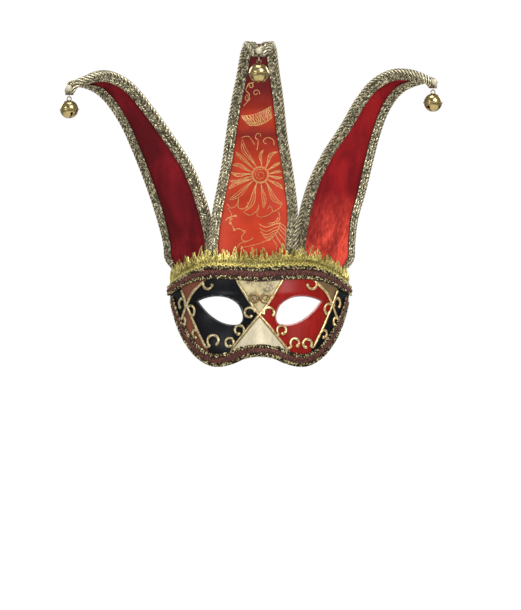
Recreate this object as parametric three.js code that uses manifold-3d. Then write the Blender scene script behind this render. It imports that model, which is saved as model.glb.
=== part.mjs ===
// Venetian jester half mask: a moulded shell with piped gilt relief, gimp braid round its rim,
// three braid-bound cloth horns behind a gold picot trim, and a jingle bell under each horn's tip.
// Millimetres, +Z up. The wearer looks along -Y, and +X is at the right seen from the front.
// The origin is on the inner face of the nose bridge, where the mask sits on the nose.
import * as THREE from "three";
import { mergeVertices } from "three/addons/utils/BufferGeometryUtils.js";
import Module from "manifold-3d";

const wasm = await Module();
wasm.setup();

// Driving dimensions
const GAP = 0.3; // clearance between glued pieces
const WALL = 2; // moulded shell
const HALF_WIDTH = 86; // half width of the ellipse that the shell follows round the face
const WRAP_DEPTH = 86; // front-to-back half axis of that ellipse
const TEMPLE_X = 82; // where the shell ends at each temple
const FOREHEAD_FROM = 15; // height where the forehead starts to lean back
const FOREHEAD_TO = 40; // height where that lean ends
const FOREHEAD_LEAN = 0.006; // lean per square millimetre of height
const NOSE_TOP = 14;
const NOSE_LENGTH = 48;
const NOSE_RISE = 25;
const NOSE_HALF_WIDTH = 9;
const NOSE_FLARE = 9;
const NOSE_CURVE = 1.2; // over 1, the bridge starts flat
const BRAID_WIDTH = { middle: 12, temple: 9 };
const BRAID_THICK = 1.8;
const BRAID_LIFT = 0.4; // glue line under the braid
const BRAID_OVERHANG = 0.6; // how far the braid stands past the shell's rim
const BRAID_ENDS = { top: 81.8, bottom: 80.2 }; // where each braid ends at the temples
const RELIEF_WIDTH = 2.2;
const RELIEF_HEIGHT = 1.3;
const SCROLL_TIGHTEN = 0.4; // share of a scroll's radius that is gone after one turn
const RELIEF_LIFT = 0.65; // the ridges' flat foot stands this far off the moulded face
const HORN_THICK = 2.4; // stiffened cloth with both its faces
const BINDING_LEG = 8; // how far the folded braid reaches in from a horn's edge
const BINDING_THICK = 1;
const BINDING_FOLD = GAP + BINDING_THICK; // how far the fold stands past the cloth's edge
const BINDING_SLACK = 0.8; // between the cloth's faces and the braid folded over them
const SEAT_SLACK = 0.6; // extra room between the horns and the inside of the shell
const HORN_ROWS = 21;
const TRIM_THICK = 1.4;
const TRIM_BAND = 6.5; // height of the picot trim's woven foot
const TRIM_REACH = 78; // where the trim ends at each temple
const PICOT_PITCH = 9;
const PICOT_HEIGHT = 11.5;
const PEARL_DIAMETER = 5.8;
const PEARL_ALONG = 0.935; // where the pearl is sewn along a horn
const BELL_WALL = 0.7;
const BELL_SLOT = 1.3;
const BELL_SEAM = 0.7; // how far and how tall the crimped seam stands out
const PELLET_DIAMETER = 4;
const LOOP_RADIUS = 1.8; // a bell's own loop, at the middle of its wire
const LOOP_WIRE = 0.9;
const THREAD_WIRE = 0.8;
const THREAD_RADIUS = 1; // turn of the thread through the loop
const THREAD_LEG = 1.4;

// Rim of the shell seen from the front: the height of each edge at a distance x from the middle.
const TOP_EDGE = [
  { x: 0, z: 41.2 },
  { x: 25, z: 42.7 },
  { x: 46, z: 42.5 },
  { x: 58, z: 39.6 },
  { x: 70, z: 33.8 },
  { x: 78, z: 28.4 },
  { x: TEMPLE_X, z: 25.5 },
];
const BOTTOM_EDGE = [
  { x: 0, z: -36 },
  { x: 12, z: -37.8 },
  { x: 22, z: -42.3 },
  { x: 34, z: -45.4 },
  { x: 45, z: -44.2 },
  { x: 57, z: -36.4 },
  { x: 66, z: -25.2 },
  { x: 72.5, z: -12.8 },
  { x: 77.5, z: 1.6 },
  { x: 80.5, z: 14 },
  { x: TEMPLE_X, z: 21 },
];

// Soft forms of the moulded face, the same on both sides: where each is, its spread and its rise.
const FACE_FORMS = {
  brow: { x: 30, z: 17, wide: 26, tall: 8, rise: 3 },
  socket: { x: 35, z: 2, wide: 20, tall: 13, rise: -4.5 },
  cheek: { x: 42, z: -28, wide: 18, tall: 12, rise: 2.5 },
};

// Eye hole seen from the front, on the +X side: three curves through its two corners and its inner turn.
const EYE_HOLE = {
  outer: [56, 12.5],
  top: [44, 19, 28, 19.5, 18.5, 9.5],
  inner: [14, 3, 12, -6, 19, -9],
  bottom: [34, -11.5, 48, 0, 56, 12.5],
};

// Gilt lines on the +X side, seen from the front. The first runs on to the other side of the nose.
const GILT_LINES = {
  nose: [
    [19.5, 29],
    [10, 14],
    [0, 0],
    [-11, -13.8],
    [-23, -28.4],
  ],
  temple_fall: [
    [50.5, 28.5],
    [59, 20],
    [64.7, 8.9],
    [69, -3],
  ],
  cheek: [
    [68.5, 19],
    [64.7, 8.9],
    [56, -12],
    [48.6, -26.5],
  ],
};

// Scrolls seen from the front: middle, radius, angle of the outer end, turns (clockwise below 0), squeeze.
const SCROLLS = [
  { x: -4.9, z: 14.6, radius: 4.4, from: 235, turns: -1.25, squeeze: 1 },
  { x: 5.2, z: 14.4, radius: 4.4, from: -55, turns: 1.25, squeeze: 1 },
  { x: -8.4, z: 1.8, radius: 4.8, from: 10, turns: 0.85, squeeze: 1 },
  { x: -17.6, z: -13.8, radius: 4.5, from: -30, turns: 0.9, squeeze: 1 },
  { x: -26.4, z: -24.8, radius: 4.4, from: -25, turns: 0.95, squeeze: 0.9 },
  { x: -40.6, z: -23.2, radius: 5.4, from: 235, turns: -0.82, squeeze: 1 },
  { x: -61.2, z: 3.2, radius: 5.2, from: 115, turns: -0.5, squeeze: 0.7 },
  { x: -69, z: 9.8, radius: 5, from: -25, turns: 0.75, squeeze: 0.6 },
  { x: -56.8, z: -17.2, radius: 3.6, from: 20, turns: 0.8, squeeze: 0.7 },
  { x: 8.4, z: 2, radius: 4.7, from: 200, turns: -0.7, squeeze: 1 },
  { x: 19.5, z: -13.8, radius: 4.5, from: 230, turns: -0.95, squeeze: 1 },
  { x: 31.2, z: -25, radius: 4.2, from: 225, turns: -0.85, squeeze: 1 },
  { x: 41.9, z: -25.8, radius: 4.2, from: -35, turns: 0.85, squeeze: 1 },
  { x: 61.2, z: 5, radius: 4.9, from: 65, turns: 0.52, squeeze: 0.75 },
  { x: 69.1, z: 10.2, radius: 5, from: 205, turns: -0.75, squeeze: 0.6 },
  { x: 57, z: -17.2, radius: 3.7, from: 160, turns: -0.8, squeeze: 0.75 },
  { x: -45.6, z: 27.2, radius: 4.3, from: 175, turns: 0.54, squeeze: 1 },
  { x: 46.2, z: 27.2, radius: 4.3, from: 5, turns: -0.54, squeeze: 1 },
  { x: -67.6, z: -6.2, radius: 3.8, from: 115, turns: -0.48, squeeze: 0.5 },
  { x: 67.6, z: -6.2, radius: 3.8, from: 65, turns: 0.48, squeeze: 0.5 },
];

// Each horn is a strip between two edges, a row for each section from its seat to its tip.
// left and right are the bound edges seen from the front, and bulge is how far the middle stands out.
// A bell hangs from the tip with its slots turned as given, in radians.
// A row with no y lies against the inside of the shell.
const HORNS = {
  left: {
    bell: { diameter: 16, turn: 0.4 },
    rows: [
      { left: { x: -79.5, z: 23 }, right: { x: -48.5, z: 32.5 }, bulge: 3.5 },
      { left: { x: -80.5, z: 36 }, right: { x: -49, z: 45 }, bulge: 3.5 },
      { left: { x: -84.6, y: 69, z: 50 }, right: { x: -40.6, y: 35.3, z: 57 }, bulge: 2.4 },
      { left: { x: -86.2, y: 66.5, z: 64 }, right: { x: -39.6, y: 36.6, z: 67 }, bulge: 3 },
      { left: { x: -91.6, y: 58, z: 86 }, right: { x: -45.4, y: 35.5, z: 95 }, bulge: 4 },
      { left: { x: -101, y: 51, z: 115 }, right: { x: -58.7, y: 31, z: 131.5 }, bulge: 4 },
      { left: { x: -113.5, y: 43, z: 147.5 }, right: { x: -79.7, y: 28, z: 164.5 }, bulge: 3.5 },
      { left: { x: -124, y: 37, z: 171 }, right: { x: -95.7, y: 24, z: 186.5 }, bulge: 3 },
      { left: { x: -135, y: 29.5, z: 188 }, right: { x: -113.5, y: 17.5, z: 207 }, bulge: 2.5 },
      { left: { x: -143.7, y: 21.5, z: 197 }, right: { x: -130.4, y: 8.5, z: 216 }, bulge: 2 },
      { left: { x: -152, y: 13, z: 202 }, right: { x: -143, y: -4, z: 214.5 }, bulge: 1.5 },
      { left: { x: -160, y: 5, z: 204.5 }, right: { x: -152.5, y: -11.5, z: 209 }, bulge: 1 },
      { left: { x: -168.5, y: -4, z: 204 }, right: { x: -159.5, y: -14.5, z: 204.5 }, bulge: 0.6 },
      { left: { x: -171.2, y: -11.8, z: 199 }, right: { x: -162.6, y: -13.4, z: 199 }, bulge: 0.4 },
      { left: { x: -171.8, y: -13, z: 194.2 }, right: { x: -163.8, y: -12.6, z: 194.2 }, bulge: 0.3 },
    ],
  },
  center: {
    bell: { diameter: 17.4, turn: 0.78 },
    rows: [
      { left: { x: -44, z: 32.5 }, right: { x: 31, z: 33 }, bulge: 8.6 },
      { left: { x: -44, z: 43 }, right: { x: 31, z: 43 }, bulge: 8.6 },
      { left: { x: -45, y: 26, z: 56 }, right: { x: 32.4, y: 20, z: 56 }, bulge: 8.4 },
      { left: { x: -44.5, y: 26, z: 72 }, right: { x: 33, y: 21.2, z: 72 }, bulge: 7.6 },
      { left: { x: -41.8, y: 25, z: 92 }, right: { x: 33.8, y: 22, z: 92 }, bulge: 6.8 },
      { left: { x: -37.5, y: 23, z: 114.5 }, right: { x: 31.6, y: 22, z: 114.5 }, bulge: 6 },
      { left: { x: -33.7, y: 21.5, z: 134 }, right: { x: 28.9, y: 21.5, z: 134 }, bulge: 5 },
      { left: { x: -30.5, y: 18.5, z: 155 }, right: { x: 25.3, y: 18.5, z: 155 }, bulge: 4 },
      { left: { x: -27.3, y: 14, z: 177 }, right: { x: 22.7, y: 14, z: 177 }, bulge: 3.4 },
      { left: { x: -24.2, y: 9.5, z: 194 }, right: { x: 20.9, y: 9.5, z: 194 }, bulge: 2.8 },
      { left: { x: -20, y: 2, z: 214 }, right: { x: 17.8, y: 2, z: 214 }, bulge: 2.2 },
      { left: { x: -17.2, y: -6, z: 229.5 }, right: { x: 15.8, y: -6, z: 229.5 }, bulge: 1.6 },
      { left: { x: -15, y: -14, z: 237 }, right: { x: 14.4, y: -14, z: 237 }, bulge: 1.2 },
      { left: { x: -12.6, y: -22.5, z: 237.5 }, right: { x: 12, y: -22.5, z: 237.5 }, bulge: 0.8 },
      { left: { x: -9.6, y: -28.5, z: 233 }, right: { x: 8.6, y: -28.5, z: 233 }, bulge: 0.5 },
      { left: { x: -7, y: -30.6, z: 229 }, right: { x: 6, y: -30.6, z: 229 }, bulge: 0.4 },
      { left: { x: -6, y: -31, z: 225.7 }, right: { x: 5, y: -31, z: 225.7 }, bulge: 0.3 },
    ],
  },
  right: {
    bell: { diameter: 16, turn: -0.65 },
    rows: [
      { left: { x: 35.5, z: 33 }, right: { x: 79.5, z: 23 }, bulge: 6 },
      { left: { x: 35.5, z: 44 }, right: { x: 80.5, z: 36 }, bulge: 6 },
      { left: { x: 31.8, y: 28.6, z: 57 }, right: { x: 84.4, y: 69, z: 50 }, bulge: 4.4 },
      { left: { x: 32, y: 29.4, z: 68 }, right: { x: 85.4, y: 66.5, z: 64 }, bulge: 5 },
      { left: { x: 36.8, y: 29.4, z: 96 }, right: { x: 88, y: 58, z: 86.5 }, bulge: 5 },
      { left: { x: 45.2, y: 29, z: 122.8 }, right: { x: 95.2, y: 51, z: 112 }, bulge: 4.5 },
      { left: { x: 56.5, y: 28, z: 145 }, right: { x: 101.5, y: 44, z: 138.8 }, bulge: 4 },
      { left: { x: 73.4, y: 25, z: 171 }, right: { x: 107.2, y: 38.5, z: 161.4 }, bulge: 3.5 },
      { left: { x: 85, y: 20, z: 191.4 }, right: { x: 113.9, y: 32, z: 180.2 }, bulge: 3 },
      { left: { x: 99.2, y: 12, z: 208.7 }, right: { x: 121.6, y: 24, z: 193.2 }, bulge: 2.5 },
      { left: { x: 116, y: 2.5, z: 217 }, right: { x: 129.5, y: 15.5, z: 200.7 }, bulge: 2 },
      { left: { x: 129, y: -6, z: 216.5 }, right: { x: 137.5, y: 8, z: 204.5 }, bulge: 1.5 },
      { left: { x: 139.5, y: -13.5, z: 212.5 }, right: { x: 146, y: 1, z: 207 }, bulge: 1 },
      { left: { x: 146, y: -17, z: 208 }, right: { x: 153, y: -5, z: 207.5 }, bulge: 0.6 },
      { left: { x: 148.4, y: -15.4, z: 203.4 }, right: { x: 156.2, y: -12.8, z: 203.4 }, bulge: 0.4 },
      { left: { x: 149, y: -14.6, z: 200.2 }, right: { x: 156.8, y: -14.2, z: 200.2 }, bulge: 0.3 },
    ],
  },
};

// Finishes
const finish = (color, roughness, metalness) =>
  new THREE.MeshStandardMaterial({ color, roughness, metalness });
const FINISHES = {
  paint: finish(0x7d1d1b, 0.35, 0),
  gilt: finish(0xb08a3e, 0.35, 0.9),
  gimp: finish(0x4a2424, 0.7, 0.2),
  velvet: finish(0x7a0d16, 0.9, 0),
  brocade: finish(0xb8281f, 0.6, 0),
  lurex: finish(0x8d8158, 0.5, 0.6),
  trim: finish(0xc2a13a, 0.45, 0.7),
  brass: finish(0xc9a850, 0.22, 1),
  pearl: finish(0xe9e2d2, 0.25, 0),
  thread: finish(0xc8bfa4, 0.8, 0),
};

const mask = new THREE.Group();

function addPiece(name, geometry, material) {
  const mesh = new THREE.Mesh(geometry, material);
  mesh.name = name;
  mask.add(mesh);
  return mesh;
}

// Geometry from points and triangles, turned outwards whichever way its sections ran.
function closedGeometry(points, triangles) {
  let volume = 0;
  for (const [a, b, c] of triangles) {
    volume += points[a].dot(new THREE.Vector3().crossVectors(points[b], points[c]));
  }
  const facing = volume > 0 ? triangles : triangles.map(([a, b, c]) => [a, c, b]);
  return new THREE.BufferGeometry().setFromPoints(points).setIndex(facing.flat());
}

// Solid between two grids of the same size, front[i][j] and back[i][j], with its four rims closed.
function sheetGeometry(front, back) {
  const columns = front.length;
  const rows = front[0].length;
  const points = [...front.flat(), ...back.flat()];
  const f = (i, j) => i * rows + j;
  const b = (i, j) => columns * rows + i * rows + j;
  const triangles = [];
  const quad = (p, q, r, s) => triangles.push([p, q, r], [p, r, s]);
  for (let i = 0; i < columns - 1; i++) {
    for (let j = 0; j < rows - 1; j++) {
      quad(f(i, j), f(i + 1, j), f(i + 1, j + 1), f(i, j + 1));
      quad(b(i, j), b(i, j + 1), b(i + 1, j + 1), b(i + 1, j));
    }
    quad(f(i, 0), b(i, 0), b(i + 1, 0), f(i + 1, 0));
    quad(f(i, rows - 1), f(i + 1, rows - 1), b(i + 1, rows - 1), b(i, rows - 1));
  }
  for (let j = 0; j < rows - 1; j++) {
    quad(f(0, j), f(0, j + 1), b(0, j + 1), b(0, j));
    quad(f(columns - 1, j), b(columns - 1, j), b(columns - 1, j + 1), f(columns - 1, j + 1));
  }
  return closedGeometry(points, triangles);
}

// Solid through rings of points that all have the section's corners, capped at both ends.
function sweepGeometry(rings, section) {
  const corners = section.length;
  const caps = THREE.ShapeUtils.triangulateShape(section, []);
  const triangles = caps.map(([a, b, c]) => [a, c, b]);
  const last = (rings.length - 1) * corners;
  for (const cap of caps) triangles.push(cap.map((corner) => corner + last));
  for (let i = 0; i < rings.length - 1; i++) {
    for (let j = 0; j < corners; j++) {
      const here = i * corners + j;
      const beside = i * corners + ((j + 1) % corners);
      triangles.push([here, beside, beside + corners], [here, beside + corners, here + corners]);
    }
  }
  return closedGeometry(rings.flat(), triangles);
}

function toSolid(geometry) {
  const bare = new THREE.BufferGeometry().setAttribute("position", geometry.getAttribute("position"));
  bare.setIndex(geometry.getIndex());
  const merged = mergeVertices(bare, 1e-4);
  const triVerts = new Uint32Array(merged.getIndex().array);
  const vertProperties = merged.getAttribute("position").array;
  return new wasm.Manifold(new wasm.Mesh({ numProp: 3, vertProperties, triVerts }));
}

function toGeometry(solid) {
  const mesh = solid.getMesh();
  const geometry = new THREE.BufferGeometry();
  geometry.setAttribute("position", new THREE.BufferAttribute(mesh.vertProperties, 3));
  geometry.setIndex(new THREE.BufferAttribute(mesh.triVerts, 1));
  return geometry;
}

const lerp = THREE.MathUtils.lerp;
const steps = (count, from, to) => Array.from({ length: count + 1 }, (_, i) => lerp(from, to, i / count));
const swell = (distance, spread) => Math.exp(-((distance / spread) ** 2));

// Height of a rim at x, on a smooth curve through its table.
function heightOn(table, x) {
  const at = Math.abs(x);
  const slope = (k) => {
    if (k === 0) return 0;
    const before = table[k - 1];
    const after = table[Math.min(k + 1, table.length - 1)];
    return (after.z - before.z) / (after.x - before.x);
  };
  let i = 0;
  while (i < table.length - 2 && at > table[i + 1].x) i++;
  const span = table[i + 1].x - table[i].x;
  const t = THREE.MathUtils.clamp((at - table[i].x) / span, 0, 1);
  const rise = t * t * (3 - 2 * t);
  const ease = span * t * (1 - t) * (slope(i) * (1 - t) - slope(i + 1) * t);
  return lerp(table[i].z, table[i + 1].z, rise) + ease;
}

// How far the moulded face stands forward of the plain ellipse.
function faceRise(x, z) {
  const down = THREE.MathUtils.clamp((NOSE_TOP - z) / NOSE_LENGTH, 0, 1.1);
  let rise = NOSE_RISE * down ** NOSE_CURVE * swell(x, NOSE_HALF_WIDTH + NOSE_FLARE * down);
  for (const form of Object.values(FACE_FORMS)) {
    rise += form.rise * swell(Math.abs(x) - form.x, form.wide) * swell(z - form.z, form.tall);
  }
  return rise;
}
const BRIDGE_RISE = faceRise(0, 0);

// Point on the shell's painted face at an angle round the head and a height.
function facePoint(angle, z) {
  const x = HALF_WIDTH * Math.sin(angle);
  const lean = FOREHEAD_LEAN * (THREE.MathUtils.clamp(z, FOREHEAD_FROM, FOREHEAD_TO) - FOREHEAD_FROM) ** 2;
  const y = WRAP_DEPTH * (1 - Math.cos(angle)) + lean + BRIDGE_RISE - WALL - faceRise(x, z);
  return new THREE.Vector3(x, y, z);
}
function faceTangents(angle, z) {
  const nudge = 1e-3;
  const round = facePoint(angle + nudge, z).sub(facePoint(angle - nudge, z)).divideScalar(2 * nudge);
  const up = facePoint(angle, z + nudge).sub(facePoint(angle, z - nudge)).divideScalar(2 * nudge);
  return { round, up };
}
function faceNormal(angle, z) {
  const { round, up } = faceTangents(angle, z);
  return round.cross(up).normalize();
}
function onFace(angle, z, lift) {
  return facePoint(angle, z).addScaledVector(faceNormal(angle, z), lift);
}
const angleAt = (x) => Math.asin(THREE.MathUtils.clamp(x / HALF_WIDTH, -1, 1));
const TEMPLE_ANGLE = angleAt(TEMPLE_X);

// Where a move across the face's tangent plane ends, as an angle and a height.
function slide(angle, z, move) {
  const { round, up } = faceTangents(angle, z);
  const rr = round.dot(round);
  const uu = up.dot(up);
  const ru = round.dot(up);
  const mr = move.dot(round);
  const mu = move.dot(up);
  const det = rr * uu - ru * ru;
  return { angle: angle + (mr * uu - mu * ru) / det, z: z + (mu * rr - mr * ru) / det };
}

// Moulded shell with its two eye holes
function eyeHoleCutter(side) {
  const outline = new THREE.Shape();
  outline.moveTo(...EYE_HOLE.outer);
  outline.bezierCurveTo(...EYE_HOLE.top);
  outline.bezierCurveTo(...EYE_HOLE.inner);
  outline.bezierCurveTo(...EYE_HOLE.bottom);
  const depth = 80;
  const cutter = new THREE.ExtrudeGeometry(outline, { depth, curveSegments: 7, bevelEnabled: false });
  cutter.rotateX(Math.PI / 2).translate(0, depth / 2, 0);
  if (side > 0) return toSolid(cutter);
  return toSolid(cutter).mirror([1, 0, 0]);
}

function makeShell() {
  const columns = 28;
  const rows = 10;
  const crowd = 0.5; // share of the columns' spread that gathers them towards the nose
  const angles = steps(columns, -1, 1).map((u) => TEMPLE_ANGLE * lerp(u, u ** 3, crowd));
  const grid = (lift) =>
    angles.map((angle) => {
      const x = HALF_WIDTH * Math.sin(angle);
      const heights = steps(rows, heightOn(BOTTOM_EDGE, x), heightOn(TOP_EDGE, x));
      return heights.map((z) => onFace(angle, z, lift));
    });
  let shell = toSolid(sheetGeometry(grid(0), grid(-WALL)));
  for (const side of [-1, 1]) shell = shell.subtract(eyeHoleCutter(side));
  addPiece("shell", toGeometry(shell), FINISHES.paint);
}

// Gimp braid glued along a rim of the shell, its outer edge just past the rim
function makeBraid(name, table, count, inward, end) {
  const angles = steps(count, -angleAt(end), angleAt(end));
  const rim = (angle) => ({ angle, z: heightOn(table, HALF_WIDTH * Math.sin(angle)) });
  const nudge = 0.004;
  const across = [0, 0.5, 1]; // shares of the braid's width
  const crown = [0.75, 1, 0.75];
  const place = (angle, step, lift) => {
    const here = rim(angle);
    const before = rim(angle - nudge);
    const after = rim(angle + nudge);
    const along = facePoint(after.angle, after.z).sub(facePoint(before.angle, before.z)).normalize();
    const normal = faceNormal(here.angle, here.z);
    const width = lerp(BRAID_WIDTH.middle, BRAID_WIDTH.temple, (angle / angleAt(TEMPLE_X)) ** 2);
    const move = normal.clone().cross(along).multiplyScalar(inward * (across[step] * width - BRAID_OVERHANG));
    const moved = slide(here.angle, here.z, move);
    return onFace(moved.angle, moved.z, lift(crown[step]));
  };
  const grid = (lift) => angles.map((angle) => across.map((_, step) => place(angle, step, lift)));
  const front = grid((share) => BRAID_LIFT + BRAID_THICK * share);
  const back = grid(() => BRAID_LIFT);
  addPiece(name, sheetGeometry(front, back), FINISHES.gimp);
}

// Piped gilt relief: ridges that follow the face, joined where they cross
function ridge(path) {
  const section = [
    new THREE.Vector2(-RELIEF_WIDTH / 2, 0),
    new THREE.Vector2(RELIEF_WIDTH / 2, 0),
    new THREE.Vector2(0, RELIEF_HEIGHT),
  ];
  const rings = path.map((point, i) => {
    const before = path[Math.max(i - 1, 0)];
    const after = path[Math.min(i + 1, path.length - 1)];
    const centre = onFace(angleAt(point.x), point.y, RELIEF_LIFT);
    const normal = faceNormal(angleAt(point.x), point.y);
    const along = facePoint(angleAt(after.x), after.y).sub(facePoint(angleAt(before.x), before.y));
    const sideways = along.cross(normal).normalize();
    return section.map((corner) =>
      centre.clone().addScaledVector(sideways, corner.x).addScaledVector(normal, corner.y),
    );
  });
  return toSolid(sweepGeometry(rings, section));
}

function giltLine(points, side) {
  return new THREE.SplineCurve(points.map(([x, z]) => new THREE.Vector2(side * x, z)));
}

// A scroll grows from the nearest place on a line and winds in to its middle.
function scrollPath({ x, z, radius, from, turns, squeeze }, lines) {
  const count = Math.ceil(Math.abs(turns) * 9);
  const spiral = steps(count, 0, 1).map((t) => {
    const angle = THREE.MathUtils.degToRad(from) + turns * t * 2 * Math.PI;
    const reach = radius * (1 - SCROLL_TIGHTEN * (turns * t) ** 2);
    return new THREE.Vector2(x + squeeze * reach * Math.cos(angle), z + reach * Math.sin(angle));
  });
  const places = lines.flatMap((line) => line.getPoints(80));
  const apart = (place) => place.distanceTo(spiral[0]);
  const root = places.reduce((best, place) => (apart(place) < apart(best) ? place : best));
  return apart(root) > RELIEF_WIDTH / 4 ? [root, ...spiral] : spiral;
}

function makeRelief(name, lines, scrolls) {
  const paths = lines.map((line) => line.getPoints(11));
  paths.push(...scrolls.map((row) => scrollPath(row, lines)));
  const relief = paths.map(ridge).reduce((joined, solid) => joined.add(solid));
  addPiece(name, toGeometry(relief), FINISHES.gilt);
}

// Horns: stiffened cloth strips, each bound with folded braid along both edges
const SEAT_DEPTH = WALL + GAP + BINDING_THICK + BINDING_SLACK + HORN_THICK / 2 + SEAT_SLACK;

function edgePoint({ x, y, z }) {
  if (y === undefined) return onFace(angleAt(x), z, -SEAT_DEPTH);
  return new THREE.Vector3(x, y, z);
}

// Strip of one horn: its place, width direction and normal at along (0 to 1) and across (-1 to 1).
function hornStrip(rows) {
  const curve = (side) => {
    const points = rows.map((row) => edgePoint(row[side]));
    return new THREE.CatmullRomCurve3(points, false, "centripetal");
  };
  const left = curve("left");
  const right = curve("right");
  const bulges = new THREE.SplineCurve(rows.map((row, i) => new THREE.Vector2(i, row.bulge)));
  const frame = (along) => {
    const start = left.getPoint(along);
    const sideways = right.getPoint(along).sub(start);
    const width = sideways.length() - 2 * BINDING_FOLD;
    const rising = left.getTangent(along).add(right.getTangent(along));
    const normal = sideways.normalize().clone().cross(rising).normalize();
    const middle = start.addScaledVector(sideways, BINDING_FOLD + width / 2);
    return { middle, sideways, normal, width, bulge: bulges.getPoint(along).y };
  };
  return (along, across) => {
    const { middle, sideways, normal, width, bulge } = frame(along);
    const tilt = Math.atan2(-4 * bulge * across, width);
    return {
      width,
      point: middle
        .addScaledVector(sideways, (across * width) / 2)
        .addScaledVector(normal, bulge * (1 - across * across)),
      sideways: sideways.clone().multiplyScalar(Math.cos(tilt)).addScaledVector(normal, Math.sin(tilt)),
      normal: normal.clone().multiplyScalar(Math.cos(tilt)).addScaledVector(sideways, -Math.sin(tilt)),
    };
  };
}

// Place across a strip that lies inset from one of its edges, and never quite at its middle.
function insetAcross(strip, along, inset, side) {
  const { width } = strip(along, 0);
  return side * (1 - (2 * Math.min(inset, width / 2 - GAP)) / width);
}

function makePanel(name, strip, material) {
  const insets = [0, BINDING_LEG, Infinity, BINDING_LEG, 0]; // Infinity is the middle of the strip
  const grid = (lift) =>
    insets.map((inset, i) =>
      steps(HORN_ROWS, 0, 1).map((along) => {
        const { point, normal } = strip(along, insetAcross(strip, along, inset, Math.sign(i - 2)));
        return point.addScaledVector(normal, lift);
      }),
    );
  addPiece(name, sheetGeometry(grid(HORN_THICK / 2), grid(-HORN_THICK / 2)), material);
}

// Folded braid over one edge of a strip: side -1 is the left edge and 1 the right.
function makeBinding(name, strip, side) {
  const inner = HORN_THICK / 2 + BINDING_SLACK;
  const outer = inner + BINDING_THICK;
  const section = [
    new THREE.Vector2(-BINDING_LEG, outer),
    new THREE.Vector2(-BINDING_LEG, inner),
    new THREE.Vector2(GAP, inner),
    new THREE.Vector2(GAP, -inner),
    new THREE.Vector2(-BINDING_LEG, -inner),
    new THREE.Vector2(-BINDING_LEG, -outer),
    new THREE.Vector2(BINDING_FOLD, -outer),
    new THREE.Vector2(BINDING_FOLD, outer),
  ];
  const rings = steps(HORN_ROWS, 0, 1).map((along) =>
    section.map((corner) => {
      const across = insetAcross(strip, along, Math.max(-corner.x, 0), side);
      const { point, normal, sideways } = strip(along, across);
      return point.addScaledVector(normal, corner.y).addScaledVector(sideways, side * Math.max(corner.x, 0));
    }),
  );
  addPiece(name, sweepGeometry(rings, section), FINISHES.lurex);
  return rings.at(-1);
}

// Picot trim round the foot of the horns: a woven band whose upper edge rises in points
function makeTrim() {
  const reach = angleAt(TRIM_REACH);
  const arc = 2 * reach * HALF_WIDTH;
  const picots = Math.round(arc / PICOT_PITCH);
  const columns = 2 * picots;
  const back = -WALL + GAP;
  const grid = (lift) =>
    steps(columns, -reach, reach).map((angle, i) => {
      const foot = heightOn(TOP_EDGE, HALF_WIDTH * Math.sin(angle)) + GAP;
      const top = foot + TRIM_BAND + PICOT_HEIGHT * (i % 2);
      return [foot, foot + TRIM_BAND * 0.8, top].map((z) => onFace(angle, z, lift));
    });
  addPiece("crown_trim", sheetGeometry(grid(back + TRIM_THICK), grid(back)), FINISHES.trim);
}

// Jingle bell: a thin ball with a crimped seam, crossed slots below and its own loop on top
function bellSolid(radius, slotTurn, middle) {
  const ball = new THREE.SphereGeometry(radius, 12, 8).rotateX(Math.PI / 2);
  const hollow = new THREE.SphereGeometry(radius - BELL_WALL, 8, 6).rotateX(Math.PI / 2);
  const seamRadius = radius + BELL_SEAM;
  const seam = new THREE.CylinderGeometry(seamRadius, seamRadius, BELL_SEAM, 12).rotateX(Math.PI / 2);
  const loop = new THREE.TorusGeometry(LOOP_RADIUS, LOOP_WIRE / 2, 4, 9).rotateX(Math.PI / 2);
  loop.translate(0, 0, radius + LOOP_RADIUS - LOOP_WIRE / 2);
  let solid = toSolid(ball).add(toSolid(seam)).subtract(toSolid(hollow)).add(toSolid(loop));
  const slotTop = -0.5 * radius;
  const slotLength = 1.8 * radius;
  for (const turn of [slotTurn, slotTurn + Math.PI / 2]) {
    const slot = new THREE.BoxGeometry(slotLength, BELL_SLOT, radius);
    slot.translate(0, 0, slotTop - radius / 2).rotateZ(turn);
    const eye = new THREE.CylinderGeometry(BELL_SLOT, BELL_SLOT, 3 * radius, 6);
    eye.translate(0, 0, slotTop).rotateZ(turn);
    solid = solid.subtract(toSolid(slot)).subtract(toSolid(eye));
  }
  return toGeometry(solid).translate(middle.x, middle.y, middle.z);
}

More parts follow.
